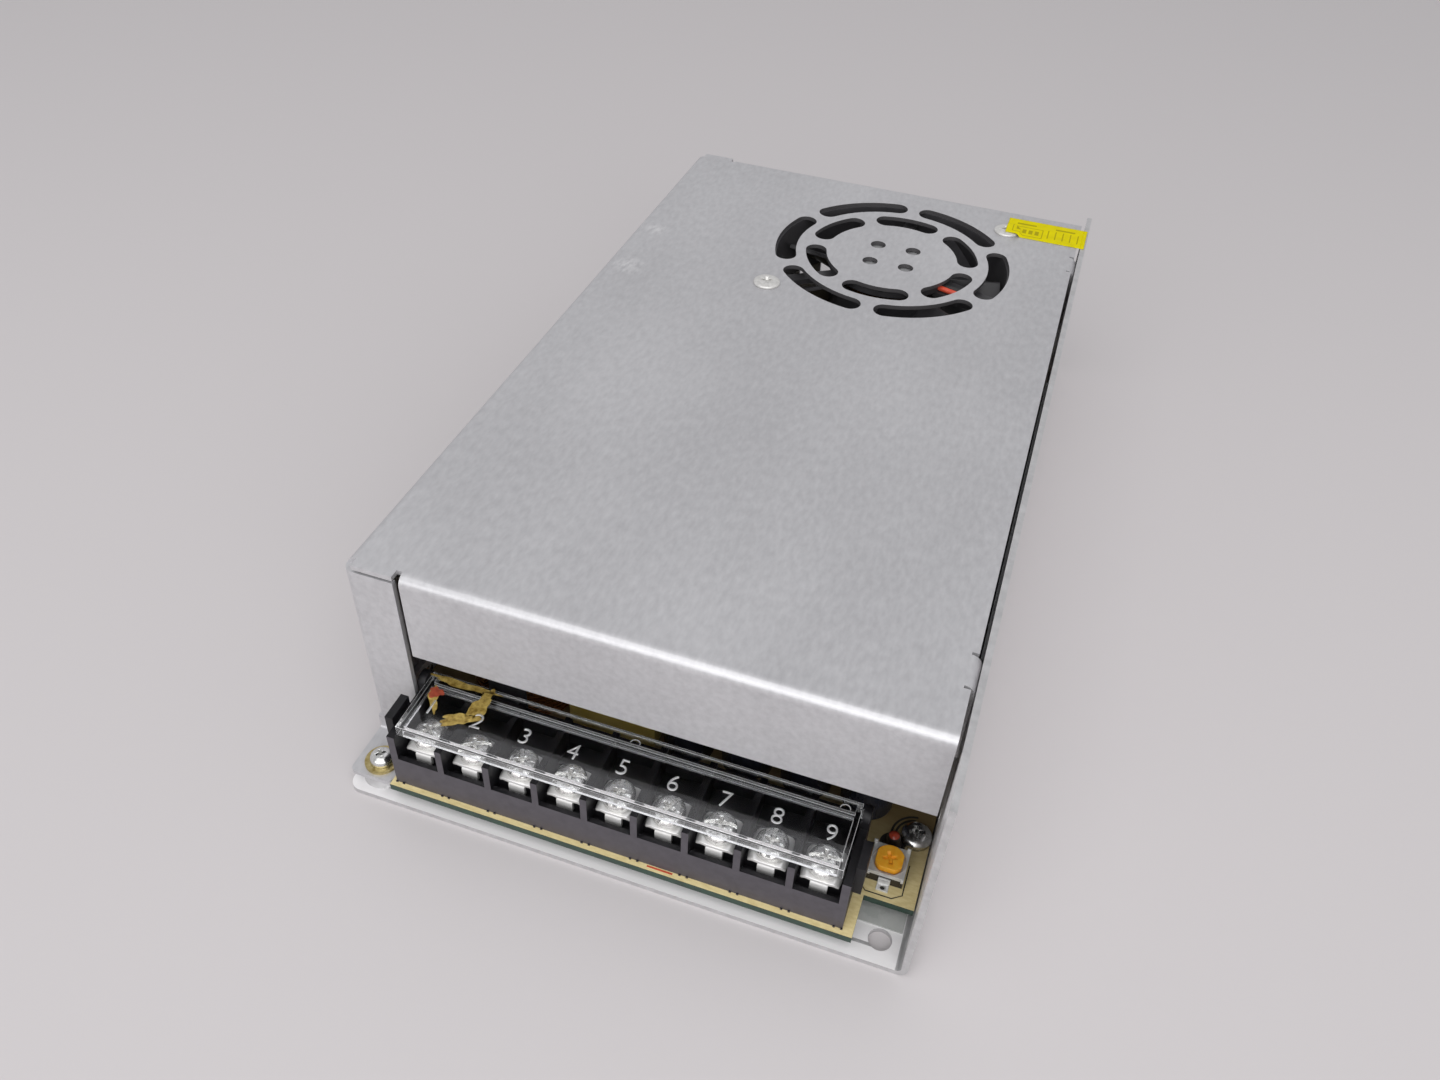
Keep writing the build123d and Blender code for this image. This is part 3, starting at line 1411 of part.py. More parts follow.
# Seal: a thin strip stuck over half the rear fan screw, the cover and the right wall's edge.
seal_screw = fan_screws_at[1]
tent_inner = case_screw_head_radius + seal_gap
tent_height = case_screw_head_height + seal_gap
with BuildPart() as seal_sticker:
    with Locations((seal_left, seal_front, case_height + seal_gap)):
        Box(
            seal_right - seal_left, seal_rear - seal_front, seal_sheet,
            align=(Align.MIN, Align.MIN, Align.MIN),
        )
    # The strip rises over the screw head.
    with Locations((seal_screw[0], seal_screw[1], case_height + seal_gap)):
        Cone(
            tent_inner + seal_tent + seal_sheet, tent_inner + seal_sheet, tent_height + seal_sheet - seal_gap,
            align=(Align.CENTER, Align.CENTER, Align.MIN),
        )
    with Locations((seal_screw[0], seal_screw[1], case_height)):
        Cone(
            tent_inner + seal_tent, tent_inner, tent_height,
            align=(Align.CENTER, Align.CENTER, Align.MIN), mode=Mode.SUBTRACT,
        )
    with Locations((seal_left, seal_front, case_height)):
        Box(
            seal_right - seal_left, seal_rear - seal_front, 2 * tent_height,
            align=(Align.MIN, Align.MIN, Align.MIN), mode=Mode.INTERSECT,
        )

seal_sticker.part.label = "seal_sticker"
export_step(seal_sticker.part, "parts/seal_sticker.step")
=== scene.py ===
import random
from math import cos, pi, radians, sin

import bmesh
import bpy
from mathutils import Matrix, Vector


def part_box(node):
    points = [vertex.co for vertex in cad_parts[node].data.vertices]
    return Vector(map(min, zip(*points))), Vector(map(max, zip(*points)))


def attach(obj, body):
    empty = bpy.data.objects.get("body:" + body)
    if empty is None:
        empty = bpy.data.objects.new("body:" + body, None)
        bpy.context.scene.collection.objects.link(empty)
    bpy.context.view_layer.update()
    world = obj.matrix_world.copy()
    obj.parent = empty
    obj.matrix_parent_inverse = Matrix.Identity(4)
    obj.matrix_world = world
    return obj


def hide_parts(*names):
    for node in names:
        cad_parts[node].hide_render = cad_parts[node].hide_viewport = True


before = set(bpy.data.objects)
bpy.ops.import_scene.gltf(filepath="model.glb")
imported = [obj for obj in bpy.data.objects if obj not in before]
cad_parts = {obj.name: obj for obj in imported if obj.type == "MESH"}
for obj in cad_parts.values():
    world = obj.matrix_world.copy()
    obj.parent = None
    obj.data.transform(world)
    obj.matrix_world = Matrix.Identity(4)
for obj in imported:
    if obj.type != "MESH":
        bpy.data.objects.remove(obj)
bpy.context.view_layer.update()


# Chassis: bottom plate and right wall, bent from one bare aluminium sheet. It is smooth mill-finish
# metal with faint rolling lines, and its cut edges are duller.
mm = 0.001


def fresh_material(name):
    material = bpy.data.materials.new(name)
    material.use_nodes = True
    nodes = material.node_tree.nodes
    return material, nodes, material.node_tree.links, nodes["Principled BSDF"]


def grain(nodes, links, scale, stretch=(1, 1, 1), detail=4.0, roughness=0.55):
    place = nodes.new("ShaderNodeTexCoord")
    spread = nodes.new("ShaderNodeMapping")
    spread.inputs["Scale"].default_value = stretch
    noise = nodes.new("ShaderNodeTexNoise")
    noise.inputs["Scale"].default_value = scale
    noise.inputs["Detail"].default_value = detail
    noise.inputs["Roughness"].default_value = roughness
    links.new(place.outputs["Object"], spread.inputs["Vector"])
    links.new(spread.outputs["Vector"], noise.inputs["Vector"])
    return noise.outputs["Fac"]


def spread_of(nodes, links, source, at_start, at_end, start=0.3, end=0.7):
    """Turns a source between start and end into the values given for them."""
    between = nodes.new("ShaderNodeMapRange")
    between.inputs["From Min"].default_value = start
    between.inputs["From Max"].default_value = end
    between.inputs["To Min"].default_value = at_start
    between.inputs["To Max"].default_value = at_end
    links.new(source, between.inputs["Value"])
    return between.outputs["Result"]


def blend_of(nodes, links, source, dark, light, start=0.3, end=0.7):
    """Turns a source between start and end into a colour between dark and light."""
    ramp = nodes.new("ShaderNodeValToRGB")
    ramp.color_ramp.elements[0].position = start
    ramp.color_ramp.elements[1].position = end
    ramp.color_ramp.elements[0].color = (*dark, 1)
    ramp.color_ramp.elements[1].color = (*light, 1)
    links.new(source, ramp.inputs["Fac"])
    return ramp.outputs["Color"]


def relief(nodes, links, shader, source, strength, depth):
    bump = nodes.new("ShaderNodeBump")
    bump.inputs["Strength"].default_value = strength
    bump.inputs["Distance"].default_value = depth
    links.new(source, bump.inputs["Height"])
    links.new(bump.outputs["Normal"], shader.inputs["Normal"])
    return bump


def mottled(
    name, dark, light, rough, metal=0.0, scale=400, stretch=(1, 1, 1), strength=0.1, depth=2e-5,
):
    """A finish whose colour, roughness and relief follow one fine grain."""
    material, nodes, links, shader = fresh_material(name)
    source = grain(nodes, links, scale, stretch)
    links.new(blend_of(nodes, links, source, dark, light), shader.inputs["Base Color"])
    links.new(spread_of(nodes, links, source, *rough), shader.inputs["Roughness"])
    relief(nodes, links, shader, source, strength, depth)
    shader.inputs["Metallic"].default_value = metal
    return material


def dress(node, material):
    """Gives a CAD node its finish."""
    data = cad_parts[node].data
    data.materials.clear()
    data.materials.append(material)


def piece_from(mesh, name):
    """Makes a bmesh into an object in the scene."""
    data = bpy.data.meshes.new(name)
    mesh.to_mesh(data)
    mesh.free()
    piece = bpy.data.objects.new(name, data)
    bpy.context.collection.objects.link(piece)
    return piece


def rounded_look(piece, width, angle=32, edge_slot=-1):
    """Eases a piece's sharp edges and shades it smoothly."""
    eased = piece.modifiers.new("eased edges", "BEVEL")
    eased.width = width
    eased.segments = 2
    eased.limit_method = "ANGLE"
    eased.angle_limit = radians(angle)
    eased.harden_normals = True
    eased.material = edge_slot
    flat = piece.modifiers.new("flat faces stay flat", "WEIGHTED_NORMAL")
    flat.mode = "FACE_AREA"
    flat.weight = 100
    flat.keep_sharp = True
    piece.data.shade_smooth()
    return piece


def joined_up(node):
    """A bmesh of a CAD node with its doubled corners joined."""
    same_place = 0.001 * mm
    mesh = bmesh.new()
    mesh.from_mesh(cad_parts[node].data)
    bmesh.ops.remove_doubles(mesh, verts=mesh.verts, dist=same_place)
    return mesh


def eased_copy(node, width, edge_slot=-1):
    """The node's own solid with its sharp edges rounded."""
    mesh = joined_up(node)
    bmesh.ops.dissolve_limit(mesh, angle_limit=radians(0.5), verts=mesh.verts, edges=mesh.edges)
    return rounded_look(piece_from(mesh, node + "_eased"), width, edge_slot=edge_slot)


def take_place(piece, node, body, material):
    """Lets a finished piece stand for a CAD node, on that node's body."""
    piece.data.materials.clear()
    piece.data.materials.append(material)
    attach(piece, body)
    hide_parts(node)


mill_aluminium = mottled(
    "mill aluminium", (0.86, 0.845, 0.85), (0.91, 0.895, 0.90), (0.28, 0.40),
    metal=0.15, scale=60, stretch=(1, 5, 1), strength=0.02,
)
cut_aluminium = mottled(
    "cut edge of aluminium", (0.48, 0.475, 0.48), (0.60, 0.595, 0.60), (0.34, 0.46),
    metal=0.6, scale=500, strength=0.04,
)
chassis = eased_copy("chassis", 0.10 * mm)
take_place(chassis, "chassis", "case", mill_aluminium)
chassis.data.materials.append(cut_aluminium)
narrow_face = 0.75 * mm
for face in chassis.data.polygons:
    corners = [chassis.data.vertices[i].co for i in face.vertices]
    around = sum((corners[i] - corners[i - 1]).length for i in range(len(corners)))
    face.material_index = 1 if face.area / around < narrow_face else 0


# Cover: top, left side and end flaps, folded from zinc-coated steel with a matt, finely mottled skin.
# The folds are burnished, the walls of the grille's slots are dark, and two small scuffs lie near the
# left edge of the top.
cover_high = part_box("cover")[1]
fan_low, fan_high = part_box("fan_frame")
fan_middle = ((fan_low.x + fan_high.x) / 2, (fan_low.y + fan_high.y) / 2)
grille_radius = 30.5 * mm


def worked_out(nodes, links, operation, *values):
    """The result of one sum. Each value is a socket or a plain number."""
    step = nodes.new("ShaderNodeMath")
    step.operation = operation
    for socket, value in zip(step.inputs, values):
        if isinstance(value, bpy.types.NodeSocket):
            links.new(value, socket)
        else:
            socket.default_value = value
    return step.outputs["Value"]


def mix_of(nodes, links, factor, first, second):
    """A colour from the first to the second. The second is a socket or a plain colour."""
    mix = nodes.new("ShaderNodeMix")
    mix.data_type = "RGBA"
    links.new(factor, mix.inputs["Factor"])
    links.new(first, mix.inputs["A"])
    if isinstance(second, bpy.types.NodeSocket):
        links.new(second, mix.inputs["B"])
    else:
        mix.inputs["B"].default_value = (*second, 1)
    return mix.outputs["Result"]


def facing_of(nodes, links):
    """The X, Y and Z of the way that the surface faces."""
    facing = nodes.new("ShaderNodeNewGeometry")
    parts = nodes.new("ShaderNodeSeparateXYZ")
    links.new(facing.outputs["Normal"], parts.inputs["Vector"])
    return parts.outputs


def distance_from(nodes, links, point):
    place = nodes.new("ShaderNodeTexCoord")
    away = nodes.new("ShaderNodeVectorMath")
    away.operation = "DISTANCE"
    away.inputs[1].default_value = point
    links.new(place.outputs["Object"], away.inputs[0])
    return away.outputs["Value"]


def scuffs_on_the_top(nodes, links, uneven):
    """How strongly each point is scuffed: two short rubs by the left edge, broken up by the grain."""
    rubs = []
    for x, y, reach in ((-49.0 * mm, 28.0 * mm, 5.0 * mm), (-49.5 * mm, 48.0 * mm, 3.5 * mm)):
        away = distance_from(nodes, links, (x, y, cover_high.z))
        rubs.append(spread_of(nodes, links, away, 0.9, 0.0, start=0.0, end=reach))
    both = worked_out(nodes, links, "MAXIMUM", *rubs)
    broken = spread_of(nodes, links, uneven, 0.0, 1.0, start=0.35, end=0.65)
    return worked_out(nodes, links, "MULTIPLY", both, broken)


def folds_and_grille_walls(nodes, links):
    """Two masks: the folds, burnished by the bending tool, and the cut walls of the grille's slots."""
    upward = facing_of(nodes, links)["Z"]
    half_turned, around_it = 0.55, 0.40
    fold = worked_out(nodes, links, "COMPARE", upward, half_turned, around_it)
    upright = worked_out(nodes, links, "COMPARE", upward, 0.0, 0.5)
    away = distance_from(nodes, links, (*fan_middle, cover_high.z))
    inside = spread_of(
        nodes, links, away, 1.0, 0.0, start=grille_radius, end=grille_radius + 0.5 * mm,
    )
    return fold, worked_out(nodes, links, "MULTIPLY", upright, inside)


def zinc_coat():
    material, nodes, links, shader = fresh_material("zinc-coated sheet")
    fold, wall = folds_and_grille_walls(nodes, links)
    fine = grain(nodes, links, scale=900, stretch=(1, 0.45, 1), detail=3)
    broad = grain(nodes, links, scale=28, stretch=(1, 0.6, 1), detail=5)
    broad_share = worked_out(nodes, links, "MULTIPLY", broad, 0.45)
    skin = worked_out(nodes, links, "MULTIPLY_ADD", fine, 0.55, broad_share)
    tone = blend_of(
        nodes, links, skin, (0.495, 0.49, 0.505), (0.605, 0.60, 0.615), start=0.35, end=0.65,
    )
    scuffed = mix_of(nodes, links, scuffs_on_the_top(nodes, links, fine), tone, (0.74, 0.73, 0.74))
    colour = mix_of(nodes, links, wall, scuffed, (0.12, 0.115, 0.12))
    links.new(colour, shader.inputs["Base Color"])
    matt = spread_of(nodes, links, skin, 0.42, 0.54)
    polished = worked_out(nodes, links, "MULTIPLY_ADD", fold, -0.15, matt)
    links.new(polished, shader.inputs["Roughness"])
    texture = relief(nodes, links, shader, fine, strength=0.12, depth=3e-5)
    dents = nodes.new("ShaderNodeBump")
    dents.inputs["Strength"].default_value = 0.25
    dents.inputs["Distance"].default_value = 2e-4
    links.new(grain(nodes, links, scale=55, stretch=(1, 1, 1.6), detail=2), dents.inputs["Height"])
    links.new(dents.outputs["Normal"], texture.inputs["Normal"])
    shader.inputs["Metallic"].default_value = 0.6
    return material


dress("cover", zinc_coat())


# Case screws: pan heads with a cross recess hold the fan, the board and the foot. Each is pressed and
# turned in one piece, and the foot's one sits on a yellow-passivated washer.
def turned(name, profile):
    """A closed mesh turned around Z from (radius, height) points."""
    steps = 48
    mesh = bmesh.new()
    rings = []
    for radius, height in profile:
        if radius == 0:
            rings.append([mesh.verts.new((0, 0, height))])
            continue
        ring = []
        for i in range(steps):
            angle = 2 * pi * i / steps
            ring.append(mesh.verts.new((radius * cos(angle), radius * sin(angle), height)))
        rings.append(ring)
    for below, above in zip(rings, rings[1:]):
        for i in range(steps):
            corners = [below[i % len(below)], below[(i + 1) % len(below)]]
            corners += [above[(i + 1) % len(above)], above[i % len(above)]]
            distinct = list(dict.fromkeys(corners))
            if len(distinct) > 2:
                mesh.faces.new(distinct)
    bmesh.ops.recalc_face_normals(mesh, faces=mesh.faces)
    piece = piece_from(mesh, name)
    piece.data.shade_smooth()
    return piece


def block_between(mesh, low, high):
    """Adds a plain block to a bmesh, from its low corner to its high corner."""
    middle = Matrix.Translation((Vector(low) + Vector(high)) / 2)
    size = Matrix.Diagonal((*(Vector(high) - Vector(low)), 1))
    return bmesh.ops.create_cube(mesh, size=1, matrix=middle @ size)


def shape_of(piece):
    """A piece's mesh as its modifiers leave it."""
    return bpy.data.meshes.new_from_object(piece.evaluated_get(bpy.context.evaluated_depsgraph_get()))


def settle(piece):
    """Applies a piece's modifiers to its mesh."""
    shaped = shape_of(piece)
    piece.modifiers.clear()
    piece.data = shaped


def cut_by(piece, cutter):
    cut = piece.modifiers.new("recess", "BOOLEAN")
    cut.operation = "DIFFERENCE"
    cut.solver = "EXACT"
    cut.object = cutter
    bpy.context.view_layer.update()
    settle(piece)
    bpy.data.objects.remove(cutter, do_unlink=True)


def arm_cutter(reach, width, depth, top, turn, narrowing=0.45):
    """One arm of a driver's tip. It narrows downwards and is turned about Z."""
    mesh = bmesh.new()
    made = block_between(mesh, (-reach, -width / 2, top - depth), (reach, width / 2, top + depth))
    for vert in made["verts"]:
        if vert.co.z < top:
            vert.co.x *= narrowing
    bmesh.ops.rotate(mesh, verts=mesh.verts, matrix=Matrix.Rotation(turn, 3, "Z"))
    return piece_from(mesh, "driver tip")


def cross_recess(screw, reach, width, depth, top, turn):
    for arm in (turn, turn + pi / 2):
        cut_by(screw, arm_cutter(reach, width, depth, top, arm))


def pan_head(name, low, high, radius, height, shank, edge=0.45, turn=0.3, slotted=False):
    """A screw as long as the solid between two corners, with its head on top."""
    shank_end = high.z - low.z - height
    rim = height * edge
    steps = 8
    profile = [(0, -shank_end), (shank, -shank_end), (shank, 0), (radius, 0), (radius, rim)]
    for step in range(1, steps):
        angle = pi / 2 * step / steps
        profile.append((radius * cos(angle) ** 0.6, rim + (height - rim) * sin(angle)))
    profile.append((0, height))
    screw = turned(name, profile)
    cross_recess(
        screw, reach=radius * 0.58, width=radius * 0.22, depth=height * 0.7, top=height, turn=turn,
    )
    if slotted:
        cut_by(screw, arm_cutter(
            reach=3.4 * mm, width=0.75 * mm, depth=0.9 * mm, top=height, turn=turn, narrowing=1.0,
        ))
    screw.location = ((low.x + high.x) / 2, (low.y + high.y) / 2, high.z - height)
    return screw


def in_one(name, pieces):
    """Joins several placed pieces into one object."""
    joined = bmesh.new()
    for piece in pieces:
        piece.data.transform(piece.matrix_basis)
        joined.from_mesh(piece.data)
        bpy.data.objects.remove(piece, do_unlink=True)
    return piece_from(joined, name)


def solids_in(node):
    """The low and high corners of each separate solid in a CAD node."""
    mesh = joined_up(node)
    unseen = set(mesh.verts)
    corners = []
    while unseen:
        reached = [unseen.pop()]
        for vert in reached:
            for edge in vert.link_edges:
                other = edge.other_vert(vert)
                if other in unseen:
                    unseen.remove(other)
                    reached.append(other)
        low = Vector([min(v.co[i] for v in reached) for i in range(3)])
        high = Vector([max(v.co[i] for v in reached) for i in range(3)])
        corners.append((low, high))
    mesh.free()
    return sorted(corners, key=lambda pair: tuple(pair[0]))


zinc_plate = mottled(
    "zinc plate", (0.60, 0.60, 0.59), (0.78, 0.78, 0.77), (0.16, 0.30),
    metal=1.0, scale=1400, strength=0.08,
)
dull_nickel = mottled(
    "dull nickel", (0.58, 0.57, 0.55), (0.76, 0.75, 0.73), (0.30, 0.42),
    metal=0.5, scale=1400,
)
case_shank = 1.45 * mm

# Fan screws: flat pan heads.
fan_heads = [
    pan_head("fan screw", low, high, radius=3.2 * mm, height=0.9 * mm, shank=case_shank, edge=0.35)
    for low, high in solids_in("fan_screws")
]
fan_screws = in_one("fan_screws_cross_recess", fan_heads)
take_place(fan_screws, "fan_screws", "case", dull_nickel)

# Board screws: higher pan heads.
board_heads = [
    pan_head("board screw", low, high, radius=2.9 * mm, height=2.0 * mm, shank=case_shank)
    for low, high in solids_in("pcb_screws")
]
board_screws = in_one("board_screws_cross_recess", board_heads)
take_place(board_screws, "pcb_screws", "case", zinc_plate)

# Foot screw: a domed head.
yellow_passivated = mottled(
    "yellow passivated", (0.36, 0.27, 0.09), (0.62, 0.52, 0.26), (0.26, 0.40),
    metal=1.0, scale=1100, strength=0.08,
)
dress("foot_washer", yellow_passivated)
low, high = solids_in("foot_screw")[0]
foot_screw = pan_head(
    "foot_screw_domed", low, high, radius=2.3 * mm, height=2.0 * mm, shank=case_shank,
    edge=0.15, turn=0.8,
)
take_place(foot_screw, "foot_screw", "case", zinc_plate)


# Countersunk screws: zinc plated, with a cross recess, and flush with the sides. The right wall's go
# into the tabs, and the left side's go into the lip.
def countersunk(length):
    profile = [
        (0, -length), (case_shank, -length), (case_shank, -1.15 * mm),
        (2.40 * mm, -0.06 * mm), (2.35 * mm, 0), (0, 0),
    ]
    screw = turned("side screw", profile)
    cross_recess(screw, reach=1.45 * mm, width=0.45 * mm, depth=0.8 * mm, top=0, turn=0.2)
    return screw


for node, side in (("right_side_screws", 1), ("left_side_screws", -1)):
    heads = []
    for low, high in solids_in(node):
        screw = countersunk(high.x - low.x)
        face = high.x if side > 0 else low.x
        place = Matrix.Translation((face, (low.y + high.y) / 2, (low.z + high.z) / 2))
        screw.matrix_basis = place @ Matrix.Rotation(side * pi / 2, 4, "Y")
        heads.append(screw)
    take_place(in_one(node + "_cross_recess", heads), node, "case", zinc_plate)
for node in ("fan_nuts", "clamp_screws", "clamp_bars"):
    dress(node, zinc_plate)


# Insulation sheet: a milky plastic film, cut to size and laid between the plate and the board. It
# shows in the notch at the front right.
def milky_film():
    material, nodes, links, shader = fresh_material("milky film")
    source = grain(nodes, links, scale=300)
    colour = blend_of(nodes, links, source, (0.50, 0.52, 0.50), (0.62, 0.63, 0.61))
    links.new(colour, shader.inputs["Base Color"])
    links.new(spread_of(nodes, links, source, 0.22, 0.36), shader.inputs["Roughness"])
    shader.inputs["Alpha"].default_value = 0.75
    return material


dress("insulation_sheet", milky_film())


# Circuit board: a paper-based laminate with a tan mask on top, darker towards the back with painted
# shade where it runs in under the case, and a dark green edge. Black lines are printed around the
# trimmer and the board screw, and a black ring lies around the lamp.
def place_of(nodes, links):
    """The X, Y and Z of a point on the piece."""
    place = nodes.new("ShaderNodeTexCoord")
    parts = nodes.new("ShaderNodeSeparateXYZ")
    links.new(place.outputs["Object"], parts.inputs["Vector"])
    return parts.outputs


def board_laminate():
    material, nodes, links, shader = fresh_material("board laminate")
    source = grain(nodes, links, scale=700, stretch=(1, 2.5, 1))
    mask = blend_of(nodes, links, source, (0.66, 0.54, 0.26), (0.79, 0.67, 0.36))
    edge = blend_of(nodes, links, source, (0.010, 0.030, 0.020), (0.025, 0.060, 0.040))
    along = place_of(nodes, links)["Y"]
    # Painted shade: the mask darkens towards the back, where the case shades the board.
    painted_shade_towards_back = spread_of(nodes, links, along, 0.0, 0.85, start=-86 * mm, end=-72 * mm)
    mask_with_painted_shade = mix_of(nodes, links, painted_shade_towards_back, mask, (0.11, 0.062, 0.020))
    on_top = worked_out(nodes, links, "GREATER_THAN", facing_of(nodes, links)["Z"], 0.5)
    links.new(mix_of(nodes, links, on_top, edge, mask_with_painted_shade), shader.inputs["Base Color"])
    links.new(spread_of(nodes, links, source, 0.32, 0.48), shader.inputs["Roughness"])
    relief(nodes, links, shader, source, strength=0.10, depth=2e-5)
    return material


dress("pcb", board_laminate())
board_low, board_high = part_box("pcb")


def thicken(mesh, height):
    """Raises the flat faces of a bmesh into a closed solid."""
    made = bmesh.ops.extrude_face_region(mesh, geom=mesh.faces[:])
    lifted = [v for v in made["geom"] if isinstance(v, bmesh.types.BMVert)]
    bmesh.ops.translate(mesh, verts=lifted, vec=(0, 0, height))
    bmesh.ops.recalc_face_normals(mesh, faces=mesh.faces)


def raised_line(name, points, width, height):
    """A flat raised line that follows points on a level surface."""
    points = [Vector(p) for p in points]
    mesh = bmesh.new()
    rows = []
    for i, point in enumerate(points):
        before = points[max(i - 1, 0)]
        after = points[min(i + 1, len(points) - 1)]
        along = (after - before).normalized()
        across = Vector((-along.y, along.x, 0)) * (width / 2)
        rows.append([mesh.verts.new(point + across), mesh.verts.new(point - across)])
    for first, second in zip(rows, rows[1:]):
        mesh.faces.new((first[0], first[1], second[1], second[0]))
    thicken(mesh, height)
    return piece_from(mesh, name)


def arc_points(centre, radius, start, end, level, steps=24):
    """Points from one angle to another, in degrees, around a centre."""
    points = []
    for i in range(steps + 1):
        angle = radians(start + (end - start) * i / steps)
        points.append((centre.x + radius * cos(angle), centre.y + radius * sin(angle), level))
    return points


def fix_to(piece, body, material):
    """Dresses an added piece and lets it ride on a body."""
    piece.data.materials.append(material)
    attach(piece, body)


black_print = mottled(
    "black board print", (0.012, 0.011, 0.010), (0.03, 0.028, 0.025), (0.4, 0.55), scale=900,
)
red_print = mottled(
    "red board print", (0.42, 0.05, 0.02), (0.60, 0.09, 0.04), (0.4, 0.55), scale=900,
)
print_height = 0.02 * mm
print_level = board_high.z + 0.005 * mm
arc_width = 0.42 * mm
tab_reach = 1.15 * mm
trim_low, trim_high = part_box("trimpot_body")
trim_middle = (trim_low + trim_high) / 2
lamp_low, lamp_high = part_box("power_led")

outline = [(-4.2, 2.0), (-4.2, -4.1), (-2.8, -5.6), (2.0, -5.6), (3.7, -4.4), (3.7, 2.0)]
around_trimmer = [
    (trim_middle.x + x * mm, trim_middle.y + y * mm, print_level) for x, y in outline
]
printed = [
    raised_line("outline of the trimmer", around_trimmer, width=0.22 * mm, height=print_height),
]
near_screw = [pair for pair in solids_in("pcb_screws") if pair[0].x > 0 and pair[0].y < 0][0]
screw_middle = (near_screw[0] + near_screw[1]) / 2
for radius, start, end in ((4.5 * mm, 95, 235), (3.7 * mm, 100, 230)):
    arc = arc_points(screw_middle, radius, start, end, print_level)
    printed.append(raised_line("arc by the board screw", arc, arc_width, print_height))
lamp_middle = (lamp_low + lamp_high) / 2
around_lamp = arc_points(lamp_middle, 1.95 * mm, 0, 360, print_level, steps=40)
printed.append(raised_line("ring of the lamp", around_lamp, width=0.9 * mm, height=print_height))
tab_middle = Vector((trim_middle.x, trim_low.y - tab_reach, 0))
on_tab = arc_points(tab_middle, 0.22 * mm, 0, 360, print_level)
printed.append(raised_line("spot under the tab", on_tab, arc_width, print_height))
fix_to(in_one("board_print_black", printed), "case", black_print)

red_start, red_end = 6.3 * mm, 11.2 * mm
red_y = board_low.y + 0.75 * mm
red_ends = [(red_start, red_y, print_level), (red_end, red_y, print_level)]
red_mark = raised_line("board_mark_red", red_ends, width=0.35 * mm, height=print_height)
fix_to(red_mark, "case", red_print)


# Terminal block: one black moulding with a bay for each terminal, its forward faces at the front
# painted lighter as lit. The moulding's edges are slightly round, and small black feet under its front
# wall paint a dotted contact shadow along its foot.
block_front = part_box("terminal_block")[0].y


def black_with_matt_front(name):
    """Black plastic with painted light: greyer on the forward-looking faces at the block's front, where
    light falls.
    """
    material, nodes, links, shader = fresh_material(name)
    source = grain(nodes, links, scale=700)
    inside = blend_of(nodes, links, source, (0.005, 0.005, 0.006), (0.012, 0.011, 0.013))
    front = blend_of(nodes, links, source, (0.062, 0.056, 0.066), (0.086, 0.079, 0.091))
    facing = facing_of(nodes, links)["Y"]
    place = place_of(nodes, links)["Y"]
    forward = spread_of(nodes, links, facing, 1.0, 0.0, start=-0.9, end=-0.4)
    foremost = spread_of(
        nodes, links, place, 1.0, 0.0, start=block_front + 0.9 * mm, end=block_front + 1.4 * mm,
    )
    # Painted light: the forward-looking faces at the very front are lightened as if lit.
    painted_light_on_front = worked_out(nodes, links, "MULTIPLY", forward, foremost)
    links.new(mix_of(nodes, links, painted_light_on_front, inside, front), shader.inputs["Base Color"])
    links.new(spread_of(nodes, links, source, 0.36, 0.50), shader.inputs["Roughness"])
    shader.inputs["Specular IOR Level"].default_value = 0.28
    relief(nodes, links, shader, source, strength=0.08, depth=3e-5)
    return material


block_black = black_with_matt_front("black moulding, painted lit front")
block = eased_copy("terminal_block", 0.18 * mm)
take_place(block, "terminal_block", "case", block_black)

# Feet of the block: two under each wall of the bays, black, painting the dotted contact shadow along
# the block's foot.
bays = solids_in("terminal_contacts")
bay_middles = [(low.x + high.x) / 2 for low, high in bays]
bay_pitch = bay_middles[1] - bay_middles[0]
bay_walls = [x - bay_pitch / 2 for x in bay_middles] + [bay_middles[-1] + bay_pitch / 2]
foot_shift = 0.7 * mm
half_foot = 0.2 * mm
feet_front = board_low.y + 1.1 * mm
feet_back = feet_front - 0.25 * mm
feet = bmesh.new()
for middle in bay_walls:
    for shift in (-foot_shift, foot_shift):
        block_between(
            feet,
            (middle + shift - half_foot, feet_back, board_high.z),
            (middle + shift + half_foot, feet_front, board_high.z + 0.35 * mm),
        )
fix_to(piece_from(feet, "block_feet_as_painted_shadow"), "case", block_black)

# Decks of the bays: the moulding covers each strip behind its clamp plate.
plates_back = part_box("clamp_plates")[1].y
half_deck = 4.05 * mm
deck_rise = 0.3 * mm
deck_drop = 0.8 * mm
decks = bmesh.new()
for low, high in bays:
    middle = (low.x + high.x) / 2
    block_between(
        decks,
        (middle - half_deck, plates_back + 0.1 * mm, high.z - deck_drop),
        (middle + half_deck, high.y + 0.3 * mm, high.z + deck_rise),
    )
bay_decks = rounded_look(piece_from(decks, "decks_of_the_bays"), 0.15 * mm)
fix_to(bay_decks, "case", block_black)


# Terminals: tinned strips with a rounded tongue in front, square clamp plates with turned edges, and
# screws with a slot and a cross in their heads. Each strip is pressed into its bay.
tinned = mottled(
    "tinned metal", (0.92, 0.91, 0.89), (0.98, 0.97, 0.96), (0.14, 0.24),
    metal=0.4, scale=500, strength=0.03,
)


def bent_strip(mesh, x, path, width, thickness):
    """A strip of sheet that follows a path in the YZ plane, with its outer face on the path."""
    rows = []
    for i, (y, z) in enumerate(path):
        before = Vector(path[max(i - 1, 0)])
        after = Vector(path[min(i + 1, len(path) - 1)])
        along = (after - before).normalized()
        inward = Vector((-along.y, along.x)) * thickness
        rows.append([
            mesh.verts.new((x + side * width / 2, y + inward.x * depth, z + inward.y * depth))
            for side, depth in ((-1, 0), (1, 0), (1, 1), (-1, 1))
        ])
    for first, second in zip(rows, rows[1:]):
        for i in range(4):
            mesh.faces.new((first[i], first[(i + 1) % 4], second[(i + 1) % 4], second[i]))
    mesh.faces.new(rows[0])
    mesh.faces.new(rows[-1])


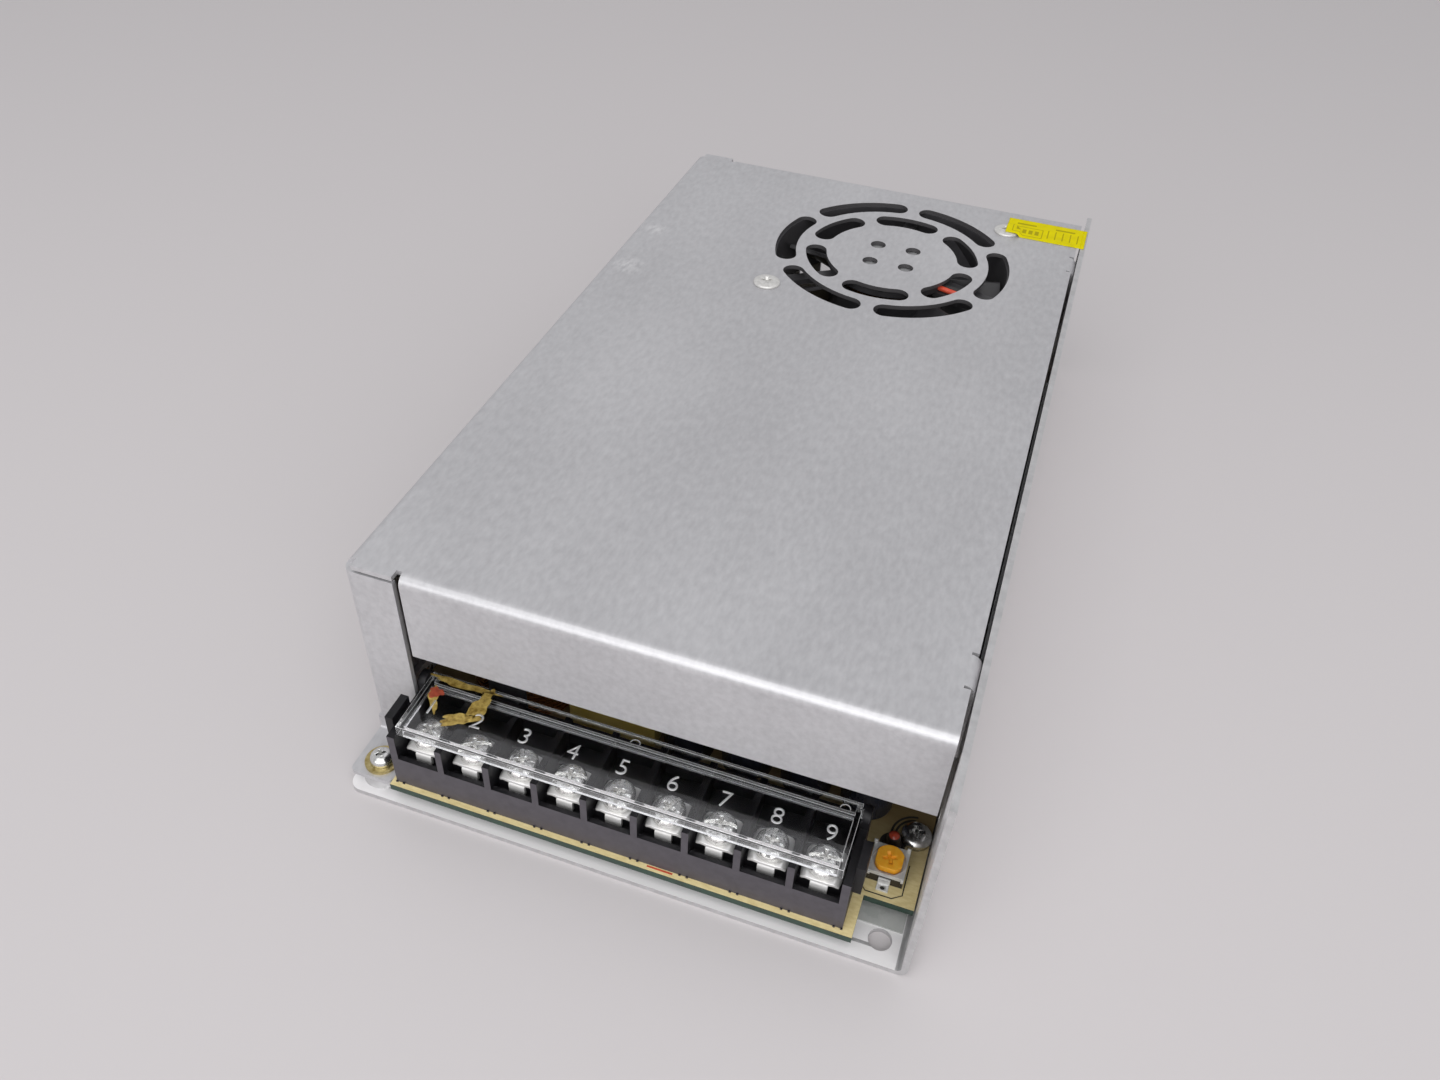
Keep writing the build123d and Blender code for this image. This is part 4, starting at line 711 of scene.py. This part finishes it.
bend = 1.1 * mm
tongue_gap = 0.6 * mm
tongue_drop = 3.0 * mm
half_leg = 0.7 * mm
leg_front = 1.4 * mm
leg_back = 0.6 * mm
bend_steps = 6
contact_mesh = bmesh.new()
for low, high in bays:
    middle = (low.x + high.x) / 2
    top = high.z
    bend_start = low.y + bend
    tongue_path = [(bend_start + tongue_gap, top)]
    for step in range(bend_steps + 1):
        angle = pi / 2 + pi / 2 * step / bend_steps
        tongue_path.append((bend_start + bend * cos(angle), top - bend + bend * sin(angle)))
    tongue_path.append((low.y, top - tongue_drop))
    strip_path = [(high.y, top), (bend_start, top)]
    bent_strip(contact_mesh, middle, strip_path, width=5.6 * mm, thickness=0.8 * mm)
    bent_strip(contact_mesh, middle, tongue_path, width=3.2 * mm, thickness=0.78 * mm)
    block_between(
        contact_mesh,
        (middle - half_leg, high.y - leg_front, low.z),
        (middle + half_leg, high.y - leg_back, top - 0.4 * mm),
    )
bmesh.ops.recalc_face_normals(contact_mesh, faces=contact_mesh.faces)
contacts = rounded_look(piece_from(contact_mesh, "contacts_with_rounded_tongues"), 0.12 * mm)
take_place(contacts, "terminal_contacts", "case", tinned)


def bowed_plate(mesh, low, high):
    """A square plate with a round hole, turned down at both sides and bowed along its front edge."""
    sides, rings = 64, 7
    hole = 2.0 * mm
    sheet = 0.7 * mm
    flat_part = 0.80
    side_drop = 0.75 * mm
    below_top = 0.12 * mm
    bow_height = 0.16 * mm
    front_dip = 0.10 * mm
    corner_rounding = 0.07
    middle = (low + high) / 2
    half = Vector(((high.x - low.x) / 2, (high.y - low.y) / 2))
    rows = []
    for ring in range(rings):
        part = ring / (rings - 1)
        upper, lower = [], []
        for i in range(sides):
            angle = 2 * pi * i / sides
            reach = 1 / max(abs(cos(angle)) / half.x, abs(sin(angle)) / half.y)
            reach *= 1 - corner_rounding * abs(sin(2 * angle)) ** 6
            away = hole + (reach - hole) * part
            x, y = away * cos(angle), away * sin(angle)
            forward = max(0.0, -y / half.y)
            turned_down = max(0.0, abs(x) / half.x - flat_part) / (1 - flat_part) * side_drop
            bow = bow_height * cos(2.6 * x / half.x) * forward ** 2
            dip = front_dip * forward ** 4
            top = min(high.z - below_top - turned_down + bow - dip, high.z)
            upper.append(mesh.verts.new((middle.x + x, middle.y + y, top)))
            lower.append(mesh.verts.new((middle.x + x, middle.y + y, top - sheet)))
        rows.append((upper, lower))
    for i in range(sides):
        j = (i + 1) % sides
        for (upper, lower), (next_upper, next_lower) in zip(rows, rows[1:]):
            mesh.faces.new((upper[i], upper[j], next_upper[j], next_upper[i]))
            mesh.faces.new((lower[j], lower[i], next_lower[i], next_lower[j]))
        for upper, lower in (rows[0], rows[-1]):
            mesh.faces.new((upper[i], lower[i], lower[j], upper[j]))


plate_mesh = bmesh.new()
for low, high in solids_in("clamp_plates"):
    bowed_plate(plate_mesh, low, high)
bmesh.ops.recalc_face_normals(plate_mesh, faces=plate_mesh.faces)
clamp_plates = rounded_look(piece_from(plate_mesh, "clamp_plates_bowed"), 0.10 * mm, angle=50)
take_place(clamp_plates, "clamp_plates", "case", tinned)

# Terminal screws: each was left at a turn of its own.
bright_heads = mottled(
    "bright screw heads", (0.90, 0.89, 0.87), (0.98, 0.97, 0.95), (0.07, 0.15),
    metal=0.85, scale=900, strength=1.0, depth=4.0e-4,
)
random.seed(7)
terminal_heads = [
    pan_head(
        "terminal screw", low, high, radius=3.0 * mm, height=2.2 * mm, shank=1.75 * mm,
        edge=0.5, turn=random.uniform(0, pi), slotted=True,
    )
    for low, high in solids_in("terminal_screws")
]
terminal_screws = in_one("terminal_screws_slotted", terminal_heads)
take_place(terminal_screws, "terminal_screws", "case", bright_heads)


# Terminal cover: a clear moulded tray turned over, with one rib inside, ejector marks, and a raised
# number over each terminal. Scraps of a worn amber and red film cling to its left end.
def clear_moulding(name, rough, tint=(0.97, 0.98, 0.99), clearness=1.0, waves=0.0):
    material, nodes, links, shader = fresh_material(name)
    source = grain(nodes, links, scale=75, stretch=(1, 2.2, 1), detail=6, roughness=0.7)
    roughened = spread_of(nodes, links, source, *rough, start=0.50, end=0.72)
    links.new(roughened, shader.inputs["Roughness"])
    shader.inputs["Base Color"].default_value = (*tint, 1)
    shader.inputs["Transmission Weight"].default_value = clearness
    shader.inputs["IOR"].default_value = 1.49
    shader.inputs["Specular IOR Level"].default_value = 0.22
    if waves:
        relief(nodes, links, shader, source, strength=waves, depth=2e-5)
    return material


clear = clear_moulding("clear moulding", (0.02, 0.16), waves=0.04)
frosted = clear_moulding(
    "clear moulding, raised marks", (0.22, 0.34), tint=(0.97, 0.97, 0.98), clearness=0.35,
)
# Painted highlight: the eased edges of the cover are clouded so that they show as bright lines.
painted_edge_highlight = clear_moulding(
    "clear moulding, painted edge highlights", (0.20, 0.34), tint=(0.98, 0.98, 0.99), clearness=0.30,
)
thick_side = clear_moulding("clear moulding, sides", (0.03, 0.08), clearness=0.94)
number_face = clear_moulding("clear moulding, number faces", (0.10, 0.20), clearness=0.80)
lid = eased_copy("terminal_lid", 0.16 * mm, edge_slot=1)
take_place(lid, "terminal_lid", "lid", clear)
lid.data.materials.append(painted_edge_highlight)
lid.data.materials.append(thick_side)
for face in lid.data.polygons:
    face.material_index = 2 if abs(face.normal.z) < 0.5 else 0
lid_low, lid_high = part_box("terminal_lid")

# Its numbers.
numbers_y = lid_low.y + 6.1 * mm
numbers = []
for count, middle in enumerate(bay_middles, start=1):
    letter = bpy.data.curves.new("number", "FONT")
    letter.body = str(count)
    letter.size = 4.8 * mm
    letter.align_x = "CENTER"
    letter.align_y = "CENTER"
    letter.extrude = 0.10 * mm
    letter.bevel_depth = 0.06 * mm
    letter.offset = -0.13 * mm
    holder = bpy.data.objects.new("number", letter)
    bpy.context.collection.objects.link(holder)
    bpy.context.view_layer.update()
    number = bpy.data.objects.new("number", shape_of(holder))
    bpy.data.objects.remove(holder, do_unlink=True)
    bpy.context.collection.objects.link(number)
    number.location = (middle, numbers_y, lid_high.z + 0.08 * mm)
    numbers.append(number)
lid_numbers = in_one("numbers_on_the_cover", numbers)
fix_to(lid_numbers, "lid", frosted)
lid_numbers.data.materials.append(number_face)
for face in lid_numbers.data.polygons:
    face.material_index = 1 if face.normal.z > 0.95 else 0

# Its ejector marks.
marks_y = lid_high.y - 2.2 * mm
marks_level = lid_high.z + 0.004 * mm
ejector_marks = []
for x in (bay_middles[4], bay_middles[8] + 1.0 * mm):
    half_ring = arc_points(Vector((x, marks_y, 0)), 0.9 * mm, 0, 180, marks_level)
    ejector_marks.append(
        raised_line("ejector mark", half_ring, width=0.14 * mm, height=0.05 * mm),
    )
fix_to(in_one("ejector_marks", ejector_marks), "lid", frosted)


# Its worn film.
def worn_film(name, dark, light):
    """Old film, thinner in spots where the dark below shows through."""
    material = mottled(name, dark, light, (0.3, 0.5), scale=1100, strength=0.3)
    material.node_tree.nodes["Principled BSDF"].inputs["Alpha"].default_value = 0.86
    return material


def worn_patch(name, material, x, y, length, width, turn, phase, above=0.0):
    """A thin uneven patch of film. Its place and reach are in millimetres from the cover's corner."""
    points = 52
    centre_x = lid_low.x + x * mm
    centre_y = lid_low.y + y * mm
    level = lid_high.z + 0.01 * mm + above * mm
    mesh = bmesh.new()
    rim = []
    for i in range(points):
        angle = 2 * pi * i / points
        broad = 0.20 * sin(3 * angle + phase)
        middling = 0.12 * sin(7 * angle + 2 * phase)
        uneven = 1 + broad + middling + 0.05 * sin(13 * angle)
        along = length * mm * uneven * cos(angle)
        across = width * mm * uneven * sin(angle)
        rim.append(mesh.verts.new((
            centre_x + along * cos(turn) - across * sin(turn),
            centre_y + along * sin(turn) + across * cos(turn),
            level,
        )))
    mesh.faces.new(rim)
    thicken(mesh, height=0.03 * mm)
    fix_to(piece_from(mesh, name), "lid", material)


amber = worn_film("amber film", (0.20, 0.12, 0.02), (0.62, 0.46, 0.13))
red = worn_film("red film", (0.26, 0.05, 0.03), (0.50, 0.10, 0.05))
worn_patch("amber_film_back", amber, x=8.2, y=13.0, length=6.4, width=0.75, turn=0.0, phase=0.4)
worn_patch("amber_film_right", amber, x=13.6, y=9.9, length=3.5, width=1.5, turn=1.45, phase=1.3)
worn_patch("amber_film_front", amber, x=11.5, y=5.5, length=3.6, width=1.25, turn=0.45, phase=2.1)
worn_patch("amber_film_left", amber, x=4.8, y=8.2, length=3.0, width=0.85, turn=-1.05, phase=0.9)
worn_patch(
    "red_film_left", red, x=4.5, y=9.6, length=1.35, width=1.2, turn=0.3, phase=1.7,
    above=0.035,
)


# Voltage trimmer: a pale metal frame with soldering tabs, its lower part painted dark as the shadow
# under the frame, around an orange moulded rotor. A screwdriver turns the rotor by the cross in its
# top.
def tinned_frame_on_ceramic(name, split):
    """Dull tinned metal above a level, and below it a painted dark shadow."""
    material, nodes, links, shader = fresh_material(name)
    source = grain(nodes, links, scale=700)
    metal = blend_of(nodes, links, source, (0.58, 0.58, 0.57), (0.74, 0.74, 0.73))
    painted_shadow_below = blend_of(nodes, links, source, (0.020, 0.017, 0.014), (0.040, 0.034, 0.028))
    # Painted shadow: below the split the frame is painted dark.
    upper = worked_out(nodes, links, "GREATER_THAN", place_of(nodes, links)["Z"], split)
    links.new(mix_of(nodes, links, upper, painted_shadow_below, metal), shader.inputs["Base Color"])
    links.new(spread_of(nodes, links, source, 0.30, 0.45), shader.inputs["Roughness"])
    relief(nodes, links, shader, source, strength=0.10, depth=2e-5)
    shader.inputs["Metallic"].default_value = 0.35
    return material


trim_metal = tinned_frame_on_ceramic("trimmer frame", trim_high.z - 0.9 * mm)
trim_frame = eased_copy("trimpot_body", 0.2 * mm)
take_place(trim_frame, "trimpot_body", "case", trim_metal)

# Its tabs: one has a round hole.
dull_tin = mottled(
    "dull tin", (0.60, 0.60, 0.59), (0.78, 0.78, 0.77), (0.28, 0.42), metal=0.4, scale=900,
)
hole_radius = 0.45 * mm
trimmer_tabs = eased_copy("trimpot_legs", 0.05 * mm)
settle(trimmer_tabs)
pin_hole = turned("pin hole", [(0, 0), (hole_radius, 0), (hole_radius, 2 * mm), (0, 2 * mm)])
pin_hole.location = (trim_middle.x, trim_low.y - tab_reach, trim_low.z - 1 * mm)
cut_by(trimmer_tabs, pin_hole)
take_place(trimmer_tabs, "trimpot_legs", "case", dull_tin)

# Its frame's corners: small lugs turned down in front and up behind.
lug_edge = 0.25 * mm
lugs = bmesh.new()
for side in (-1, 1):
    corner = trim_middle.x + side * 3.05 * mm
    block_between(
        lugs,
        (corner - lug_edge, trim_low.y - 0.30 * mm, trim_high.z - 1.9 * mm),
        (corner + lug_edge, trim_low.y + 0.02 * mm, trim_high.z - 0.15 * mm),
    )
    block_between(
        lugs,
        (corner - 0.45 * mm, trim_high.y - 0.35 * mm, trim_high.z - 0.2 * mm),
        (corner + lug_edge, trim_high.y + 0.02 * mm, trim_high.z + 0.75 * mm),
    )
trimmer_lugs = rounded_look(piece_from(lugs, "trimmer_lugs"), 0.08 * mm)
fix_to(trimmer_lugs, "case", trim_metal)

# Its rotor: round behind, flattened at both sides and in front, with a shallow cross for a driver.
orange = mottled(
    "orange rotor", (0.96, 0.38, 0.015), (1.0, 0.52, 0.04), (0.40, 0.55), scale=900, strength=0.15,
)
rotor_low, rotor_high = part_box("trimpot_rotor")
rotor_middle = (rotor_low + rotor_high) / 2
rotor_base = trim_high.z - 0.6 * mm
rim_points = 72
nearly_nothing = 0.01
rotor_mesh = bmesh.new()
rim = []
for i in range(rim_points):
    angle = 2 * pi * i / rim_points
    reach = 2.68 * mm
    if sin(angle) < 0:
        reach = min(reach, 2.30 * mm / max(abs(sin(angle)), nearly_nothing))
    reach = min(reach, 2.45 * mm / max(abs(cos(angle)), nearly_nothing))
    rim.append(rotor_mesh.verts.new((reach * cos(angle), reach * sin(angle), rotor_base)))
rotor_mesh.faces.new(rim)
thicken(rotor_mesh, rotor_high.z - rotor_base)
rotor_cap = piece_from(rotor_mesh, "rotor cap")
cross_recess(
    rotor_cap, reach=1.9 * mm, width=0.65 * mm, depth=0.45 * mm, top=rotor_high.z, turn=0.35,
)
pin_radius = 0.75 * mm
pin_top = trim_high.z - 0.5 * mm
rotor_pin = turned("rotor pin", [
    (0, rotor_low.z), (pin_radius, rotor_low.z), (pin_radius, pin_top), (0, pin_top),
])
rotor = in_one("trimmer_rotor_flattened", [rotor_cap, rotor_pin])
rotor.data.transform(Matrix.Translation((rotor_middle.x, rotor_middle.y, 0)))
rounded_look(rotor, 0.12 * mm)
take_place(rotor, "trimpot_rotor", "trim_rotor", orange)


# Indicator lamp: a small lamp moulded in red resin, with a round top on a round flange. Its flange, its
# side and the lower part of its round top are painted dark as shade, so only the top of the lens is
# red.
lens = mottled("red lens", (0.34, 0.04, 0.02), (0.50, 0.08, 0.04), (0.20, 0.30), scale=500)
lamp_painted_shade = mottled(
    "lamp foot, painted shade", (0.020, 0.014, 0.010), (0.038, 0.028, 0.020), (0.3, 0.45), scale=500,
)
flange_radius = (lamp_high.x - lamp_low.x) / 2
flange_height = 0.8 * mm
lamp_radius = flange_radius - 0.3 * mm
lamp_height = lamp_high.z - lamp_low.z
dome_base = lamp_height - lamp_radius
dome_profile = [
    (0, 0), (flange_radius, 0), (flange_radius, flange_height), (lamp_radius, flange_height),
]
for step in range(9):
    angle = pi / 2 * step / 9
    dome_profile.append((lamp_radius * cos(angle), dome_base + lamp_radius * sin(angle)))
dome_profile.append((0, lamp_height))
lamp = turned("lamp_with_round_lens", dome_profile)
lamp.location = (lamp_middle.x, lamp_middle.y, lamp_low.z)
take_place(lamp, "power_led", "case", lens)
lamp.data.materials.append(lamp_painted_shade)
# Painted shade: everything below the top of the round lens takes the dark finish.
red_from = dome_base + lamp_radius * 0.62
for face in lamp.data.polygons:
    face.material_index = 0 if face.center.z > red_from else 1


# Fan: a black plastic frame with a bearing hub and struts, a bladed rotor, and a silver label on the
# hub. Screws through the cover's top hold it, and its two leads run to a header on the board.
def black_moulding(name, level, rough):
    dark = (level * 0.85, level * 0.82, level * 0.88)
    light = (level * 1.2, level * 1.15, level * 1.25)
    return mottled(name, dark, light, rough, scale=260, strength=0.06, depth=3e-5)


fan_black = black_moulding("fan plastic", 0.040, (0.35, 0.50))
take_place(eased_copy("fan_frame", 0.25 * mm), "fan_frame", "case", fan_black)
dress("fan_rotor", black_moulding("fan rotor plastic", 0.045, (0.28, 0.40)))
dress("fan_label", mottled(
    "silver label", (0.55, 0.55, 0.56), (0.68, 0.68, 0.69), (0.25, 0.4), metal=0.5, scale=600,
))
copper = mottled(
    "enamelled copper", (0.42, 0.17, 0.06), (0.62, 0.30, 0.13), (0.2, 0.35),
    metal=0.9, scale=500, stretch=(1, 1, 12), strength=0.5, depth=1e-4,
)
dress("fan_stator", copper)
dress("fan_lead_red", mottled(
    "red insulation", (0.62, 0.06, 0.03), (0.78, 0.12, 0.06), (0.3, 0.45), scale=500,
))
dress("fan_lead_black", mottled(
    "black insulation", (0.015, 0.015, 0.015), (0.03, 0.03, 0.03), (0.3, 0.45), scale=500,
))
dress("fan_header", mottled(
    "white nylon", (0.70, 0.69, 0.63), (0.80, 0.79, 0.73), (0.4, 0.55), scale=300,
))


# Parts on the board inside the case: capacitors in shrunk sleeves, cores wound with copper and tape,
# and moulded packages. They are soldered to the board and show only through the vents and the grille.
sleeve = mottled(
    "can sleeve", (0.020, 0.022, 0.032), (0.035, 0.038, 0.055), (0.18, 0.30), scale=120,
)
for node in ("bulk_capacitors", "output_capacitors", "small_capacitors"):
    dress(node, sleeve)
ferrite = mottled(
    "ferrite", (0.045, 0.045, 0.048), (0.09, 0.09, 0.095), (0.5, 0.7), scale=600, strength=0.3,
)
for node in ("transformer_core", "emi_choke_core"):
    dress(node, ferrite)
dress("output_choke_core", mottled(
    "powder core", (0.42, 0.33, 0.05), (0.60, 0.48, 0.10), (0.5, 0.7), scale=600,
))
tape = mottled(
    "amber tape", (0.30, 0.20, 0.04), (0.42, 0.30, 0.07), (0.25, 0.4), scale=60, stretch=(1, 1, 8),
)
for node in ("transformer_winding", "drive_transformer"):
    dress(node, tape)
dress("transformer_bobbin", block_black)
for node in ("emi_choke_windings", "output_choke_winding"):
    dress(node, copper)
dress("x_capacitor", mottled(
    "film box", (0.62, 0.46, 0.10), (0.72, 0.56, 0.16), (0.35, 0.5), scale=200,
))
coating = mottled(
    "blue coating", (0.05, 0.12, 0.32), (0.09, 0.19, 0.44), (0.25, 0.4), scale=300,
)
for node in ("y_capacitors", "load_resistor"):
    dress(node, coating)
dress("thermistor", mottled(
    "green coating", (0.04, 0.14, 0.08), (0.08, 0.22, 0.13), (0.4, 0.55), scale=300,
))
dress("fuse", clear_moulding("fuse glass", (0.02, 0.06), (0.90, 0.92, 0.92)))
dress("fuse_clips", tinned)
package_black = black_moulding("package moulding", 0.030, (0.5, 0.65))
for node in ("bridge_rectifier", "control_chip", "power_transistors", "output_diodes"):
    dress(node, package_black)
dress("insulating_film", mottled(
    "grey film", (0.40, 0.42, 0.43), (0.52, 0.54, 0.55), (0.5, 0.65), scale=400,
))


# Seal: a thin yellow strip stuck over half the rear fan screw, the cover and the right wall's edge. It
# tents over the screw head and sags a little over the gap. Its print is a field of bars and some ticks.
seal_low, seal_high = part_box("seal_sticker")
wall_sheet = 1.2 * mm
wall_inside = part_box("chassis")[1].x - wall_sheet
rear_screw = solids_in("fan_screws")[-1]
head_middle = (rear_screw[0] + rear_screw[1]) / 2


def seal_height(x, y):
    """The underside of the strip above the case's top."""
    head_rise = 0.92 * mm
    head_reach = 3.25 * mm
    sag_depth = 0.25 * mm
    ripple_height = 0.05 * mm
    lie = 0.03 * mm
    away = Vector((x - head_middle.x, y - head_middle.y)).length
    over_head = head_rise - max(0.0, away - head_reach)
    sag = 0.0
    if cover_high.x < x < wall_inside:
        part = (x - cover_high.x) / (wall_inside - cover_high.x)
        sag = -sag_depth * sin(pi * part)
    to_right = max(0.0, (x - seal_low.x) / (seal_high.x - seal_low.x))
    ripple = ripple_height * sin(900 * x + 300 * y) * to_right
    return max(over_head, lie + sag + abs(ripple))


columns = 90
rows = 40
film_thickness = 0.12 * mm
seal_mesh = bmesh.new()
grid = []
for i in range(columns + 1):
    line = []
    for j in range(rows + 1):
        ragged_x = 0.30 * mm * abs(sin(1.9 * j) * sin(0.7 * j + 1))
        ragged_y = 0.22 * mm * abs(sin(1.3 * i) + 0.6 * sin(2.9 * i + 1)) / 1.6
        x = seal_low.x + ragged_x + (seal_high.x - seal_low.x - 2 * ragged_x) * i / columns
        y = seal_low.y + ragged_y + (seal_high.y - seal_low.y - 2 * ragged_y) * j / rows
        line.append(seal_mesh.verts.new((x, y, cover_high.z + seal_height(x, y))))
    grid.append(line)
for i in range(columns):
    for j in range(rows):
        seal_mesh.faces.new((grid[i][j], grid[i + 1][j], grid[i + 1][j + 1], grid[i][j + 1]))
thicken(seal_mesh, film_thickness)
seal = piece_from(seal_mesh, "seal_tented")
seal.data.shade_smooth()


def seal_paper():
    """Yellow film with a framed field of small bars and a row of ticks, in a darker yellow."""
    material, nodes, links, shader = fresh_material("yellow seal film")
    place = place_of(nodes, links)

    def within(output, low, high):
        above = worked_out(nodes, links, "GREATER_THAN", output, low)
        below = worked_out(nodes, links, "LESS_THAN", output, high)
        return worked_out(nodes, links, "MULTIPLY", above, below)

    def bar(x, end_x, y, end_y):
        """A printed bar, in millimetres from the seal's low corner."""
        across = within(place["X"], seal_low.x + x * mm, seal_low.x + end_x * mm)
        along = within(place["Y"], seal_low.y + y * mm, seal_low.y + end_y * mm)
        return worked_out(nodes, links, "MULTIPLY", across, along)

    bars = [bar(1.6, 9.4, 1.2, 1.45), bar(1.6, 9.4, 6.0, 6.25)]
    bars += [bar(edge, edge + 0.22, 1.2, 6.25) for edge in (1.6, 9.2)]
    bars += [bar(2.6 + 1.6 * i, 3.6 + 1.6 * i, 2.6, 4.8) for i in range(4)]
    bars += [bar(10.6 + 1.9 * i, 10.9 + 1.9 * i, 2.0, 6.6) for i in range(5)]
    bars += [bar(2.4, 7.4, 7.4, 8.2), bar(12.4, 17.4, 7.4, 8.2)]
    marks = bars[0]
    for each in bars[1:]:
        marks = worked_out(nodes, links, "MAXIMUM", marks, each)
    source = grain(nodes, links, scale=350)
    ground = blend_of(nodes, links, source, (0.64, 0.55, 0.0), (0.74, 0.65, 0.0))
    faded = worked_out(nodes, links, "MULTIPLY", marks, 0.75)
    inked = mix_of(nodes, links, faded, ground, (0.30, 0.25, 0.005))
    links.new(inked, shader.inputs["Base Color"])
    links.new(spread_of(nodes, links, source, 0.50, 0.65), shader.inputs["Roughness"])
    shader.inputs["Specular IOR Level"].default_value = 0.05
    return material


take_place(seal, "seal_sticker", "case", seal_paper())


# Table, light and camera: a pale table, one large soft box overhead and one soft fill in front, and a
# camera that stands where the photograph's did.
pale_table, *_, table_shader = fresh_material("pale table")
table_shader.inputs["Base Color"].default_value = (0.585, 0.557, 0.562, 1)
table_shader.inputs["Roughness"].default_value = 0.6
table_mesh = bmesh.new()
bmesh.ops.create_grid(table_mesh, x_segments=1, y_segments=1, size=3.0)
table = piece_from(table_mesh, "table")
table.data.materials.append(pale_table)


def soft_box(name, place, aim, size, power):
    lamp = bpy.data.lights.new(name, "AREA")
    lamp.shape = "RECTANGLE"
    lamp.size, lamp.size_y = size
    lamp.energy = power
    holder = bpy.data.objects.new(name, lamp)
    bpy.context.collection.objects.link(holder)
    holder.location = place
    holder.rotation_euler = (Vector(aim) - Vector(place)).to_track_quat("-Z", "Y").to_euler()


soft_box("overhead box", (0.05, -0.48, 0.75), aim=(0, -0.10, 0.02), size=(1.0, 0.8), power=3.4)
soft_box("front fill", (0.20, -1.0, 0.5), aim=(0, 0, 0.03), size=(2.2, 0.65), power=6.2)

world = bpy.data.worlds.new("soft room")
bpy.context.scene.world = world
world.use_nodes = True
room_light = world.node_tree.nodes["Background"]
room_light.inputs["Color"].default_value = (0.98, 0.98, 1.0, 1)
room_light.inputs["Strength"].default_value = 0.60

camera_data = bpy.data.cameras.new("camera")
camera_data.sensor_width = 36.0
camera_data.lens = 28.55
camera_data.clip_start = 0.01
camera = bpy.data.objects.new("camera", camera_data)
bpy.context.collection.objects.link(camera)
camera_stand = Vector((0.048606, -0.202573, 0.186905))
camera_right = Vector((0.94408, 0.32725, 0.04023))
camera_down = Vector((0.24853, -0.62613, -0.73905))
camera_ahead = Vector((-0.21667, 0.70772, -0.67245))
turned_to = Matrix((camera_right, -camera_down, -camera_ahead)).transposed().to_4x4()
camera.matrix_world = Matrix.Translation(camera_stand) @ turned_to
bpy.context.scene.camera = camera

bpy.context.scene.view_settings.view_transform = "Standard"
